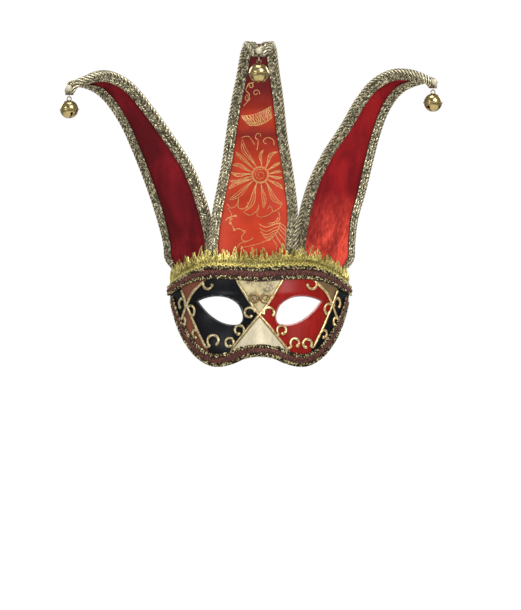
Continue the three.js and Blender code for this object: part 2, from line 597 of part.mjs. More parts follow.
// What hangs under a horn's tip: a stay of thread, the bell on it with its pellet, and a pearl above
function makeDrop(side, strip, tipRings, { diameter, turn: slotTurn }) {
  const tip = strip(1, 0).point;
  const facing = tip.clone().sub(strip(0.99, 0).point).normalize();
  const lowest = Math.min(...tipRings.flat().map((point) => point.z));
  const fold = new THREE.Vector3(tip.x, tip.y, lowest - GAP - THREAD_LEG);
  const legTop = (y) => {
    const clear = GAP + (THREAD_WIRE / 2) * Math.hypot(facing.x, facing.y);
    return tip.z - (facing.y * y) / facing.z + clear / facing.z - fold.z;
  };
  const turn = steps(6, Math.PI, 2 * Math.PI);
  const hang = [
    new THREE.Vector3(0, -THREAD_RADIUS, legTop(-THREAD_RADIUS)),
    ...turn.map((a) => new THREE.Vector3(0, THREAD_RADIUS * Math.cos(a), THREAD_RADIUS * Math.sin(a))),
    new THREE.Vector3(0, THREAD_RADIUS, legTop(THREAD_RADIUS)),
  ];
  const section = steps(5, 0, (2 * Math.PI * 5) / 6).map(
    (a) => new THREE.Vector2((THREAD_WIRE / 2) * Math.cos(a), (THREAD_WIRE / 2) * Math.sin(a)),
  );
  const rings = hang.map((point, i) => {
    const along = hang[Math.min(i + 1, hang.length - 1)].clone().sub(hang[Math.max(i - 1, 0)]).normalize();
    const outward = new THREE.Vector3(1, 0, 0).cross(along);
    const centre = point.clone().add(fold);
    return section.map((c) => new THREE.Vector3(c.x, 0, 0).add(centre).addScaledVector(outward, c.y));
  });
  addPiece(`thread_${side}`, sweepGeometry(rings, section), FINISHES.thread);

  const radius = diameter / 2;
  const pivot = fold.clone().add(new THREE.Vector3(0, 0, -THREAD_RADIUS));
  const loopDrop = (THREAD_WIRE + LOOP_WIRE) / 2 + GAP / 2 - LOOP_RADIUS;
  const bellDrop = loopDrop - radius - LOOP_RADIUS + LOOP_WIRE / 2;
  const middle = pivot.clone().add(new THREE.Vector3(0, 0, bellDrop));
  addPiece(`bell_${side}`, bellSolid(radius, slotTurn, middle), FINISHES.brass);

  const pellet = new THREE.SphereGeometry(PELLET_DIAMETER / 2, 10, 6);
  const pelletDrop = radius - BELL_WALL - PELLET_DIAMETER / 2 - GAP;
  addPiece(`pellet_${side}`, pellet, FINISHES.brass).position.copy(middle).z -= pelletDrop;

  const pearl = new THREE.SphereGeometry(PEARL_DIAMETER / 2, 10, 6);
  const seat = strip(PEARL_ALONG, 0);
  const lift = HORN_THICK / 2 + BINDING_SLACK + BINDING_THICK + GAP + PEARL_DIAMETER / 2;
  const sewn = seat.point.addScaledVector(seat.normal, -lift);
  addPiece(`pearl_${side}`, pearl, FINISHES.pearl).position.copy(sewn);
}

makeShell();
const { nose, temple_fall, cheek } = GILT_LINES;
const OUTER_SCROLLS = 35; // scrolls further out than this belong to a temple's lines
makeRelief(
  "gilt_center",
  [giltLine(nose, -1), giltLine(nose, 1)],
  SCROLLS.filter(({ x }) => Math.abs(x) < OUTER_SCROLLS),
);
for (const [name, side] of [
  ["gilt_left", -1],
  ["gilt_right", 1],
]) {
  const scrolls = SCROLLS.filter(({ x }) => side * x > OUTER_SCROLLS);
  makeRelief(name, [giltLine(temple_fall, side), giltLine(cheek, side)], scrolls);
}
makeBraid("braid_top", TOP_EDGE, 30, -1, BRAID_ENDS.top);
makeBraid("braid_bottom", BOTTOM_EDGE, 46, 1, BRAID_ENDS.bottom);
makeTrim();
for (const [side, { rows, bell }] of Object.entries(HORNS)) {
  const strip = hornStrip(rows);
  makePanel(`horn_${side}`, strip, side === "center" ? FINISHES.brocade : FINISHES.velvet);
  const ends = [makeBinding(`binding_${side}_l`, strip, -1), makeBinding(`binding_${side}_r`, strip, 1)];
  makeDrop(side, strip, ends, bell);
}

export default mask;
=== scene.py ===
# %% [markdown]
# # A Venetian jester half mask
# The mask is a moulded shell, painted in harlequin diamonds and piped with gilt lines. A gimp braid
# covers its rim, and three braid-bound cloth horns stand behind a gold picot trim, each with a pearl
# and a jingle bell at its tip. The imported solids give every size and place. Each piece below is made
# in the same frame, in metres, and takes the place of the solid that it dresses.

# %% Load the fixed frame
import math

import bpy
import numpy as np
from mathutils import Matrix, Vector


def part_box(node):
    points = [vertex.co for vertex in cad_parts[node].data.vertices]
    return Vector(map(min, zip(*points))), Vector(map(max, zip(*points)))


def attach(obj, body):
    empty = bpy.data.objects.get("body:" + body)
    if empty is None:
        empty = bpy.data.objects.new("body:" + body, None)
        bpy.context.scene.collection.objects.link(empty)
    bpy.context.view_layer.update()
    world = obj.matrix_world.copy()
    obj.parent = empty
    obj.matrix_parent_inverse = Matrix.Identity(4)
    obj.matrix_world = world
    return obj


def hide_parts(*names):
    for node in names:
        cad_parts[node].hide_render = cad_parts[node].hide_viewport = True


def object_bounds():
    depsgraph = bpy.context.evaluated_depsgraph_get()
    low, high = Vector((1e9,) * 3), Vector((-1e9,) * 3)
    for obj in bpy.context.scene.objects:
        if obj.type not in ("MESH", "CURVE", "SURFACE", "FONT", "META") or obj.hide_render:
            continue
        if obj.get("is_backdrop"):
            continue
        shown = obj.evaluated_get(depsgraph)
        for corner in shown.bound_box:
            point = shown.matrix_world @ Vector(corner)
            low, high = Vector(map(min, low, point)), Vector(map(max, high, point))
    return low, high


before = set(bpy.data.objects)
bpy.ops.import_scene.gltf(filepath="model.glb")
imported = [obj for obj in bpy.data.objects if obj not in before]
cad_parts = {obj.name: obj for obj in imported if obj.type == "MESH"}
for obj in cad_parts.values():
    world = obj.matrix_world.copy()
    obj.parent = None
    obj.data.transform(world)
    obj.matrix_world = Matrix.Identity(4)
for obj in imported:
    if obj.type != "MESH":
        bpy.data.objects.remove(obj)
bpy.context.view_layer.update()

MM = 0.001

# %% [markdown]
# ## Helpers for materials
# Colours are picked as sRGB hex values, the way a paint chart gives them, and shaders work in linear
# light, so one function converts them. Another one adds a node with its settings and links, which
# keeps each material a short list of what it is made of. Names that start with a capital are sockets,
# and the others are the node's own settings. A socket that is given another node is linked to it.


# %% Colour, node and material helpers
def linear(hex_colour):
    """An sRGB hex value as linear red, green, blue and alpha."""
    channels = [int(hex_colour[i : i + 2], 16) / 255 for i in (1, 3, 5)]
    light = [c / 12.92 if c <= 0.04045 else ((c + 0.055) / 1.055) ** 2.4 for c in channels]
    return [*light, 1.0]


FACTOR = 0  # sockets of a colour Mix node, which has several of the same name
FIRST = 6
SECOND = 7
MIXED = 2
MIX = {"data_type": "RGBA"}
MULTIPLY = {"data_type": "RGBA", "blend_type": "MULTIPLY", FACTOR: 1.0}


def fill(material, node, settings):
    """Sets what a node has, and links a socket that is given an output or a node's main output."""
    for key, value in settings.items():
        if isinstance(value, bpy.types.Node):
            value = value.outputs[MIXED if value.bl_idname == "ShaderNodeMix" else 0]
        if isinstance(key, str) and key[0].islower():
            setattr(node, key, value)
        elif isinstance(value, bpy.types.NodeSocket):
            material.node_tree.links.new(value, node.inputs[key])
        else:
            is_hex = isinstance(value, str) and value.startswith("#")
            node.inputs[key].default_value = linear(value) if is_hex else value


def add_node(material, kind, settings=None):
    """Adds one node to a material, with its settings and links."""
    node = material.node_tree.nodes.new("ShaderNode" + kind)
    fill(material, node, settings or {})
    return node


def new_material(name, settings):
    """A material with its Principled shader, whose sockets take the settings."""
    material = bpy.data.materials.new(name)
    material.use_nodes = True
    shader = material.node_tree.nodes["Principled BSDF"]
    fill(material, shader, settings)
    return material, shader


print("helpers for materials are ready")

# %% [markdown]
# ## Helpers for objects
# An operator acts on all that is selected, so one helper leaves a single object selected, and another
# names the object that was added last. Further helpers come where a piece first needs them.


# %% Selecting and naming
def select_only(piece):
    """Leaves one object selected and active, since an operator acts on all that is selected."""
    bpy.ops.object.select_all(action="DESELECT")
    piece.select_set(True)
    bpy.context.view_layer.objects.active = piece


def added(name):
    """Names the object that was added last and leaves it alone selected."""
    piece = bpy.context.object
    piece.name = name
    select_only(piece)
    return piece


print("helpers for objects are ready")

# %% [markdown]
# ## Camera, floor and light
# The photograph was taken level with the face, from far enough away that little is foreshortened, so
# a long lens stands 2.6 m in front. The longer side of the picture takes the sensor's 36 mm. The
# floor is a pale disc well below the mask, because the mask is held up and not lying on anything.

# %% Camera and floor
VIEW_DISTANCE = 2600
VIEW_HEIGHT = 542.9  # what the picture's height covers at the reference plane
REFERENCE_Y = 12
VIEW_X = 0.9
VIEW_Z = 8.9
SENSOR = 36

bpy.ops.object.camera_add(
    location=(VIEW_X * MM, (REFERENCE_Y - VIEW_DISTANCE) * MM, VIEW_Z * MM),
    rotation=(math.radians(90), 0, 0),
)
camera = bpy.context.object
camera.data.sensor_width = SENSOR
camera.data.lens = SENSOR * VIEW_DISTANCE / VIEW_HEIGHT
bpy.context.scene.camera = camera

FLOOR_HEIGHT = -520
FLOOR_RADIUS = 1400
bpy.ops.mesh.primitive_circle_add(
    vertices=96, radius=FLOOR_RADIUS * MM, fill_type="NGON", location=(0, 0, FLOOR_HEIGHT * MM)
)
floor = added("studio_floor")
floor_paint, _ = new_material("matt_floor_paint", {"Base Color": "#f2f0ec", "Roughness": 0.9})
floor.data.materials.append(floor_paint)
floor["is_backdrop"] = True
print("camera with a lens of", round(camera.data.lens, 1), "mm")

# %% [markdown]
# Studio light comes from large soft boxes: the key at the front right and above, a weaker fill at the
# left, one from above for the bells and braids, and two behind for the other sides. The world is white
# to the eye and gives only part of that as light, so that shiny paint keeps its dark reflections.

# %% Soft boxes and world
SOFT_BOXES = {
    "key": {"at": (0.9, -1.5, 1.1), "size": 0.9, "power": 32},
    "fill": {"at": (-1.3, -1.3, 0.4), "size": 0.8, "power": 11},
    "top": {"at": (-0.1, -0.2, 1.6), "size": 0.8, "power": 11},
    "back_left": {"at": (-1.2, 1.4, 0.8), "size": 1.0, "power": 12},
    "back_right": {"at": (1.2, 1.4, 0.8), "size": 1.0, "power": 12},
}
AIM = np.array((0, 0, 0.09))
for name, box in SOFT_BOXES.items():
    bpy.ops.object.light_add(type="AREA", location=box["at"])
    light = added("soft_box_" + name)
    light.data.shape = "DISK"
    light.data.size = box["size"]
    light.data.energy = box["power"]
    away = light.location - type(light.location)(AIM)
    light.rotation_euler = away.to_track_quat("Z", "Y").to_euler()

WORLD_LIGHT = 0.32  # share of the white that reaches the mask
world = bpy.data.worlds.new("white_studio")
world.use_nodes = True
bpy.context.scene.world = world
background = world.node_tree.nodes["Background"]
background.inputs["Color"].default_value = (1, 1, 1, 1)
seen = add_node(world, "LightPath")
brightness = add_node(world, "MapRange", {"To Min": WORLD_LIGHT, "Value": seen.outputs["Is Camera Ray"]})
fill(world, background, {"Strength": brightness})
# Plain sRGB output keeps the picked colours, where the default film curve would pale the reds.
bpy.context.scene.view_settings.view_transform = "Standard"
print(len(SOFT_BOXES), "soft boxes round the mask")

# %% [markdown]
# ## The moulded face
# The shell follows an ellipse round the head. On it rise the nose, the brows and the cheeks, and the
# eye sockets sink in. The same numbers made the solid, so the new mesh lies exactly where the solid
# is. Sculpting by hand would give the same forms, but a formula can also tell the braid, the gilt
# lines and the trim where the face is and which way it looks.

# %% Sizes of the face in millimetres
WALL = 2
HALF_WIDTH = 86
WRAP_DEPTH = 86
TEMPLE_X = 82
FOREHEAD_FROM = 15
FOREHEAD_TO = 40
FOREHEAD_LEAN = 0.006
NOSE_TOP = 14
NOSE_LENGTH = 48
NOSE_RISE = 25
NOSE_HALF_WIDTH = 9
NOSE_FLARE = 9
NOSE_CURVE = 1.2
TOP_EDGE = [(0, 41.2), (25, 42.7), (46, 42.5), (58, 39.6), (70, 33.8), (78, 28.4), (TEMPLE_X, 25.5)]
BOTTOM_EDGE = [(0, -36), (12, -37.8), (22, -42.3), (34, -45.4), (45, -44.2), (57, -36.4)]
BOTTOM_EDGE += [(66, -25.2), (72.5, -12.8), (77.5, 1.6), (80.5, 14), (TEMPLE_X, 21)]
FACE_FORMS = {
    "brow": {"x": 30, "z": 17, "wide": 26, "tall": 8, "rise": 3},
    "socket": {"x": 35, "z": 2, "wide": 20, "tall": 13, "rise": -4.5},
    "cheek": {"x": 42, "z": -28, "wide": 18, "tall": 12, "rise": 2.5},
}


def swell(distance, spread):
    return np.exp(-((distance / spread) ** 2))


def height_on(table, x):
    """Height of a rim at x, on a smooth curve through its table."""
    xs, zs = np.array(table, float).T
    slopes = np.zeros(len(xs))
    slopes[1:-1] = (zs[2:] - zs[:-2]) / (xs[2:] - xs[:-2])
    slopes[-1] = (zs[-1] - zs[-2]) / (xs[-1] - xs[-2])
    at = np.abs(x)
    i = np.clip(np.searchsorted(xs, at) - 1, 0, len(xs) - 2)
    span = xs[i + 1] - xs[i]
    t = np.clip((at - xs[i]) / span, 0, 1)
    ease = span * t * (1 - t) * (slopes[i] * (1 - t) - slopes[i + 1] * t)
    return zs[i] + (zs[i + 1] - zs[i]) * t * t * (3 - 2 * t) + ease


print("the face is", TOP_EDGE[0][1] - BOTTOM_EDGE[0][1], "mm tall in its middle")


# %% Face surface
def face_rise(x, z):
    """How far the moulded face stands forward of the plain ellipse."""
    down = np.clip((NOSE_TOP - z) / NOSE_LENGTH, 0, 1.1)
    rise = NOSE_RISE * down**NOSE_CURVE * swell(x, NOSE_HALF_WIDTH + NOSE_FLARE * down)
    for form in FACE_FORMS.values():
        beside = swell(np.abs(x) - form["x"], form["wide"])
        rise = rise + form["rise"] * beside * swell(z - form["z"], form["tall"])
    return rise


BRIDGE_RISE = float(face_rise(0.0, 0.0))


def unit(vectors):
    return vectors / np.linalg.norm(vectors, axis=-1, keepdims=True)


def face_point(angle, z):
    """Point on the painted face at an angle round the head and a height."""
    x = HALF_WIDTH * np.sin(angle)
    lean = FOREHEAD_LEAN * (np.clip(z, FOREHEAD_FROM, FOREHEAD_TO) - FOREHEAD_FROM) ** 2
    y = WRAP_DEPTH * (1 - np.cos(angle)) + lean + BRIDGE_RISE - WALL - face_rise(x, z)
    return np.stack([x, y, z + 0 * x], axis=-1)


def face_tangents(angle, z):
    nudge = 1e-3
    around = (face_point(angle + nudge, z) - face_point(angle - nudge, z)) / (2 * nudge)
    up = (face_point(angle, z + nudge) - face_point(angle, z - nudge)) / (2 * nudge)
    return around, up


def face_normal(angle, z):
    around, up = face_tangents(angle, z)
    return unit(np.cross(around, up))


def on_face(angle, z, lift):
    return face_point(angle, z) + face_normal(angle, z) * np.asarray(lift)[..., None]


def angle_at(x):
    return np.arcsin(np.clip(np.asarray(x) / HALF_WIDTH, -1, 1))


TEMPLE_ANGLE = float(angle_at(TEMPLE_X))
print("the face wraps", round(math.degrees(2 * TEMPLE_ANGLE)), "degrees of its ellipse")

# %% [markdown]
# ## Painted shell
# The real shell is pressed from one sheet and sprayed and brushed with enamel in harlequin fields.
# A grid is laid on the face, the colour of each field is stored on its points as an attribute, and
# Solidify gives the wall. The borders between fields lie under the gilt lines, so the grid's fine
# mesh is sharp enough. The two eye holes are cut with Boolean, from a disc bent to their outline.

# %% Harlequin fields
FIELDS = {
    "black": "#0c0d12",
    "red": "#8e1813",
    "brow_cream": "#cbbb90",
    "nose_cream": "#d6cbae",
    "russet": "#7c4a38",
    "umber": "#755f42",
}
CROSSING = (64.7, 8.9)  # where the two outer borders cross
# Borders between the fields as (x, z) on the right side, from the top down.
NOSE_BORDER = [(27, 41), (19.5, 29), (10, 14), (0, 0), (11, -13.8), (23, -28.4), (32, -40)]
FALL_BORDER = [(39, 40), (50.5, 28.5), (59, 20), CROSSING, (69, -3), (75, -20)]
CHEEK_BORDER = [(76, 40), (68.5, 19), CROSSING, (56, -12), (48.6, -26.5), (37, -48)]


def border_x(border, z):
    xs, zs = np.array(border, float).T
    return np.interp(z, zs[::-1], xs[::-1])


def field_colours(x, z):
    """Linear colour of the enamel at each place seen from the front."""
    reach = np.abs(x)
    fall = border_x(FALL_BORDER, z)
    cheek = border_x(CHEEK_BORDER, z)
    names = np.where(x < 0, "black", "red").astype(object)
    outside = reach > np.minimum(fall, cheek)
    beyond = reach > np.maximum(fall, cheek)
    above = z > CROSSING[1]
    names[outside & (x < 0)] = "russet"
    names[outside & above & (x > 0)] = "umber"
    names[outside & ~above & (x > 0)] = "black"
    names[beyond] = "black"
    middle = reach < border_x(NOSE_BORDER, z)
    names[middle & (z > 0)] = "brow_cream"
    names[middle & (z <= 0)] = "nose_cream"
    table = {name: linear(value) for name, value in FIELDS.items()}
    return np.array([table[name] for name in names], np.float32)


print(len(FIELDS), "colours in the harlequin fields")

# %% Brushed enamel
enamel, shader = new_material(
    "brushed_enamel", {"Specular IOR Level": 0.1, "Coat Weight": 0.055, "Coat Roughness": 0.24}
)
place = add_node(enamel, "TexCoord").outputs["Object"]
field = add_node(enamel, "Attribute", {"attribute_name": "field"}).outputs["Color"]
# Brush marks about 1.5 mm wide run across the fields and vary the colour a little.
strokes = add_node(enamel, "Mapping", {"Scale": (1, 1, 0.35), "Vector": place})
brush = add_node(
    enamel, "TexNoise", {"Scale": 1 / (1.5 * MM) / 4, "Detail": 5, "Roughness": 0.6, "Vector": strokes}
)
worn = add_node(
    enamel, "MapRange", {"From Min": 0.35, "From Max": 0.7, "To Min": 0.78, "To Max": 1.12, "Value": brush}
)
tinted = add_node(enamel, "Mix", {**MULTIPLY, FIRST: field, SECOND: worn})
# Fine crackle, drawn with cells of 3.5 mm so that it shows, darkens the pale fields alone.
crackle = add_node(
    enamel, "TexVoronoi", {"feature": "DISTANCE_TO_EDGE", "Scale": 1 / (3.5 * MM), "Vector": place}
)
crack = add_node(
    enamel, "MapRange", {"From Max": 0.16, "To Min": 0.95, "To Max": 0.25, "Value": crackle}
)
pale = add_node(enamel, "SeparateColor", {"Color": field})
pale_share = add_node(
    enamel, "MapRange", {"From Min": 0.1, "From Max": 0.35, "Value": pale.outputs["Green"]}
)
patches = add_node(enamel, "TexNoise", {"Scale": 1 / (9 * MM), "Detail": 3, "Vector": place})
patch_share = add_node(enamel, "MapRange", {"From Min": 0.4, "From Max": 0.6, "Value": patches})
in_pale = add_node(enamel, "Math", {"operation": "MULTIPLY", 0: pale_share, 1: patch_share})
# The brow has flexed most, near its rim above all, and the stiffer nose has hardly cracked.
level = add_node(enamel, "SeparateXYZ", {"Vector": place})
flexed = add_node(
    enamel,
    "MapRange",
    {"From Min": 2 * MM, "From Max": 22 * MM, "To Min": 0.1, "Value": level.outputs["Z"]},
)
on_brow = add_node(enamel, "Math", {"operation": "MULTIPLY", 0: in_pale, 1: flexed})
crackled = add_node(enamel, "Math", {"operation": "MULTIPLY", 0: crack, 1: on_brow})
colour = add_node(enamel, "Mix", {**MIX, SECOND: "#5a5547", FACTOR: crackled, FIRST: tinted})
satin = add_node(enamel, "MapRange", {"To Min": 0.3, "To Max": 0.5, "Value": brush})
ripple = add_node(enamel, "Bump", {"Strength": 0.25, "Distance": 0.1 * MM, "Height": brush})
fill(enamel, shader, {"Base Color": colour, "Roughness": satin, "Normal": ripple})

print(len(enamel.node_tree.nodes), "nodes in the enamel")

# %% Bare pulp
# The inside and the cut edges are the bare pressed sheet: matt, off-white and slightly fibrous.
pulp, shader = new_material("pressed_pulp", {"Roughness": 0.85})
place = add_node(pulp, "TexCoord").outputs["Object"]
fibres = add_node(
    pulp, "TexNoise", {"Scale": 1 / (1.2 * MM), "Detail": 6, "Roughness": 0.7, "Vector": place}
)
colour = add_node(pulp, "Mix", {**MIX, FIRST: "#cfc6b4", SECOND: "#ece6da", FACTOR: fibres})
nap = add_node(pulp, "Bump", {"Strength": 0.5, "Distance": 0.15 * MM, "Height": fibres})
fill(pulp, shader, {"Base Color": colour, "Normal": nap})
print(len(pulp.node_tree.nodes), "nodes in the pulp")

# %% [markdown]
# ## Helpers for meshes
# The mask has few flat or round parts. Its shapes follow two kinds of surface, the moulded face and
# the bent strip of a horn, so a plain grid is added and its points are moved onto the surface. A
# modifier is applied as soon as it is added, so that the next step works on the real points.


# %% Grid, modifier and hand-over
def apply_modifier(piece, kind, settings):
    """Adds a modifier with its settings and applies it at once."""
    select_only(piece)
    bpy.ops.object.modifier_add(type=kind)
    modifier = piece.modifiers[-1]
    for key, value in settings.items():
        setattr(modifier, key, value)
    bpy.ops.object.modifier_apply(modifier=modifier.name)


def cut(piece, cutter, **settings):
    """Applies the cutter's scale and turn, takes its shape out of the piece and removes it."""
    select_only(cutter)
    bpy.ops.object.transform_apply()
    how = {"object": cutter, "operation": "DIFFERENCE", "solver": "EXACT", **settings}
    apply_modifier(piece, "BOOLEAN", how)
    bpy.data.objects.remove(cutter)


def smooth(piece, below):
    """Smooths all edges but those that turn by more degrees than given."""
    select_only(piece)
    bpy.ops.object.shade_smooth_by_angle(angle=math.radians(below))


def finish_piece(piece, body, slot, nodes, *materials):
    """Gives a piece its materials and its body, and hides the solids that it stands for. The slot is not
    used.
    """
    for material in materials:
        piece.data.materials.append(material)
    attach(piece, body)
    if nodes:
        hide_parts(*nodes)
    print(piece.name, "has", len(piece.data.polygons), "faces")


def grid_piece(name, columns, rows, place):
    """A grid primitive whose points are moved to place(u, v), with u and v from -1 to 1."""
    bpy.ops.mesh.primitive_grid_add(x_subdivisions=columns, y_subdivisions=rows, size=2)
    piece = added(name)
    flat = np.array([v.co for v in piece.data.vertices])
    moved = place(flat[:, 0], flat[:, 1]) * MM
    piece.data.vertices.foreach_set("co", moved.astype(np.float32).ravel())
    piece.data.update()
    return piece


print("helpers for meshes are ready")

# %% Eye holes
EYE_HOLE = {
    "outer": (56, 12.5),
    "top": [(44, 19), (28, 19.5), (18.5, 9.5)],
    "inner": [(14, 3), (12, -6), (19, -9)],
    "bottom": [(34, -11.5), (48, 0), (56, 12.5)],
}
EYE_STEPS = 32
CUTTER_DEPTH = 80


def eye_outline(side):
    """Points round an eye hole seen from the front: three curves that meet at its corners."""
    start = np.array(EYE_HOLE["outer"], float)
    t = np.arange(EYE_STEPS)[:, None] / EYE_STEPS
    outline = []
    for curve_name in ("top", "inner", "bottom"):
        first, second, end = np.array(EYE_HOLE[curve_name], float)
        curve = start * (1 - t) ** 3 + 3 * first * t * (1 - t) ** 2
        outline.append(curve + 3 * second * t**2 * (1 - t) + end * t**3)
        start = end
    return np.concatenate(outline) * (side, 1)


def eye_cutter(side):
    outline = eye_outline(side)
    bpy.ops.mesh.primitive_circle_add(vertices=len(outline), fill_type="NGON")
    cutter = added("eye_cutter")
    for vertex, (x, z) in zip(cutter.data.vertices, outline):
        vertex.co = (x * MM, -CUTTER_DEPTH / 2 * MM, z * MM)
    bpy.ops.object.mode_set(mode="EDIT")
    bpy.ops.mesh.select_all(action="SELECT")
    bpy.ops.mesh.extrude_region_move(TRANSFORM_OT_translate={"value": (0, CUTTER_DEPTH * MM, 0)})
    bpy.ops.mesh.select_all(action="SELECT")
    bpy.ops.mesh.normals_make_consistent(inside=False)
    bpy.ops.object.mode_set(mode="OBJECT")
    cutter.data.materials.append(pulp)
    return cutter


print("an eye hole has", 3 * EYE_STEPS, "points round it")

# %% Shell grid and wall
SHELL_COLUMNS = 230
SHELL_ROWS = 92


def shell_place(u, v):
    angle = TEMPLE_ANGLE * u
    x = HALF_WIDTH * np.sin(angle)
    low = height_on(BOTTOM_EDGE, x)
    high = height_on(TOP_EDGE, x)
    return face_point(angle, low + (high - low) * (v + 1) / 2)


shell = grid_piece("painted_shell", SHELL_COLUMNS, SHELL_ROWS, shell_place)
points = np.array([v.co for v in shell.data.vertices]) / MM
colours = field_colours(points[:, 0], points[:, 2])
shell.data.attributes.new("field", "FLOAT_COLOR", "POINT").data.foreach_set("color", colours.ravel())
shell.data.materials.append(enamel)
shell.data.materials.append(pulp)
bare = {"material_offset": 1, "material_offset_rim": 1}
apply_modifier(shell, "SOLIDIFY", {"thickness": WALL * MM, "offset": -1, "use_even_offset": True, **bare})
for side in (-1, 1):
    cut(shell, eye_cutter(side), material_mode="TRANSFER")
smooth(shell, 40)
finish_piece(shell, "mask", "paint", ["shell"])

# %% [markdown]
# ## Helpers for cords
# Cords and threads are rings of points swept along a path. What repeats hundreds of times is swept at
# once and joined into one mesh, because hundreds of objects would be slow to load and to move.


# %% Swept cords
def mesh_piece(name, parts):
    """One mesh from parts, each with points in millimetres, faces and a tone for its points."""
    mesh = bpy.data.meshes.new(name)
    points = np.concatenate([part[0] for part in parts])
    tones = np.concatenate([part[2] for part in parts])
    faces = []
    start = 0
    for part_points, part_faces, _ in parts:
        for block in part_faces:
            faces.extend((block + start).tolist())
        start += len(part_points)
    mesh.from_pydata((points * MM).tolist(), [], faces)
    mesh.attributes.new("tone", "FLOAT", "POINT").data.foreach_set("value", tones.astype(np.float32))
    piece = bpy.data.objects.new(name, mesh)
    bpy.context.scene.collection.objects.link(piece)
    smooth(piece, 50)
    return piece


def sweep(paths, normals, wide, tall, tone, sides=6, closed=False):
    """Cords along paths[cord][point]: half widths across and off the surface, and a tone a cord."""
    cords, count, _ = paths.shape
    if closed:
        along = np.roll(paths, -1, axis=1) - np.roll(paths, 1, axis=1)
    else:
        along = np.gradient(paths, axis=1)
    across = unit(np.cross(along, normals))
    off = unit(np.cross(across, along))
    turn = np.arange(sides) * 2 * math.pi / sides
    wide = np.broadcast_to(np.asarray(wide, float), (cords, count))[..., None, None]
    tall = np.broadcast_to(np.asarray(tall, float), (cords, count))[..., None, None]
    rings = paths[:, :, None] + wide * np.cos(turn)[:, None] * across[:, :, None]
    rings = rings + tall * np.sin(turn)[:, None] * off[:, :, None]
    index = np.arange(cords * count * sides).reshape(cords, count, sides)
    here = index if closed else index[:, :-1]
    after = np.roll(index, -1, axis=1) if closed else index[:, 1:]
    quads = np.stack([here, after, np.roll(after, -1, axis=2), np.roll(here, -1, axis=2)], axis=-1)
    blocks = [quads.reshape(-1, 4)]
    if not closed:
        blocks += [index[:, 0], index[:, -1, ::-1]]
    tones = np.broadcast_to(np.asarray(tone, float).reshape(-1, 1), (cords, count * sides))
    return rings.reshape(-1, 3), blocks, tones.reshape(-1)


print("helpers for cords are ready")

# %% [markdown]
# ## Rolled rims of the eye holes
# The edge of each eye hole is rounded and catches the light from above. Below the eye on the red side
# the enamel is worn to pink, and the rim's colour is painted paler along the lower edge as a painted
# highlight and left dark along the upper edge as painted shade. A cord swept along the outline, half
# sunk in the shell, gives that soft edge, which a bevel on the fine Boolean cut would tear.

# %% Eye rims
RIM_RADIUS = 0.85
RIM_SUNK = 0.55
RIM_SIDES = 8
# How pale each edge is painted: the lower edge most, as worn enamel and painted highlight, the inner
# corner less, and the upper edge least, as painted shade.
RIM_WEAR_AND_LIGHT = {"top": 0.15, "inner": 0.6, "bottom": 1.0}


def make_eye_rim(name, side, material):
    outline = eye_outline(side)
    angle = angle_at(outline[:, 0])
    z = outline[:, 1]
    path = on_face(angle, z, np.full(len(z), -RIM_SUNK))[None]
    normal = face_normal(angle, z)[None]
    points, blocks, _ = sweep(path, normal, RIM_RADIUS, RIM_RADIUS, 1.0, RIM_SIDES, closed=True)
    wear_and_light = np.repeat(list(RIM_WEAR_AND_LIGHT.values()), EYE_STEPS * RIM_SIDES)
    rim = mesh_piece(name, [(points, blocks, wear_and_light)])
    finish_piece(rim, "mask", "paint", [], material)


def make_rim_enamel(name, low, high, roughness):
    """Rim paint, mottled over 3 mm, paler where the enamel is worn and where a highlight is painted."""
    rim_enamel, shader = new_material(
        name, {"Roughness": roughness, "Coat Weight": 0.3, "Coat Roughness": 0.15}
    )
    place = add_node(rim_enamel, "TexCoord").outputs["Object"]
    mottle = add_node(rim_enamel, "TexNoise", {"Scale": 1 / (3 * MM), "Detail": 4, "Vector": place})
    tone = add_node(rim_enamel, "Attribute", {"attribute_name": "tone"}).outputs["Fac"]
    # Worn enamel and painted highlight: the mottle pales each edge by its share.
    wear_and_light = add_node(rim_enamel, "Math", {"operation": "MULTIPLY", 0: mottle, 1: tone})
    colour = add_node(rim_enamel, "Mix", {**MIX, FIRST: low, SECOND: high, FACTOR: wear_and_light})
    fill(rim_enamel, shader, {"Base Color": colour})
    return rim_enamel


make_eye_rim("eye_rim_left", -1, make_rim_enamel("worn_and_lit_black_enamel", "#0e0f14", "#2a2626", 0.4))
make_eye_rim("eye_rim_right", 1, make_rim_enamel("worn_and_lit_red_enamel", "#7a1a16", "#f0b4ae", 0.35))

# %% [markdown]
# ## Piped gilt relief
# Gilt paste is squeezed from a cone along the borders of the fields, with curls that end in a drop.
# Each line is a cord swept over the face and sunk to half its height. Its width swells and thins a
# little, as a hand squeezes, and each curl ends thicker. Brown is painted down the sides of each
# ridge as shade where it meets the face.

# %% Gilt paste
gilt, shader = new_material("gilt_paste", {"Metallic": 0.85, "Roughness": 0.34})
place = add_node(gilt, "TexCoord").outputs["Object"]
mottle = add_node(gilt, "TexNoise", {"Scale": 1 / (2.2 * MM), "Detail": 5, "Vector": place})
shift = add_node(gilt, "MapRange", {"From Min": 0.35, "From Max": 0.65, "Value": mottle})
# The gilt is greyer at the left and warmer and brighter at the right.
across = add_node(gilt, "SeparateXYZ", {"Vector": place})
left_to_right = add_node(
    gilt, "MapRange", {"From Min": -12 * MM, "From Max": 12 * MM, "Value": across.outputs["X"]}
)
deep = add_node(gilt, "Mix", {**MIX, FIRST: "#8f7d52", SECOND: "#b98e4a", FACTOR: left_to_right})
bright = add_node(gilt, "Mix", {**MIX, FIRST: "#d2c69c", SECOND: "#f2dfae", FACTOR: left_to_right})
colour = add_node(gilt, "Mix", {**MIX, FACTOR: shift, FIRST: deep, SECOND: bright})
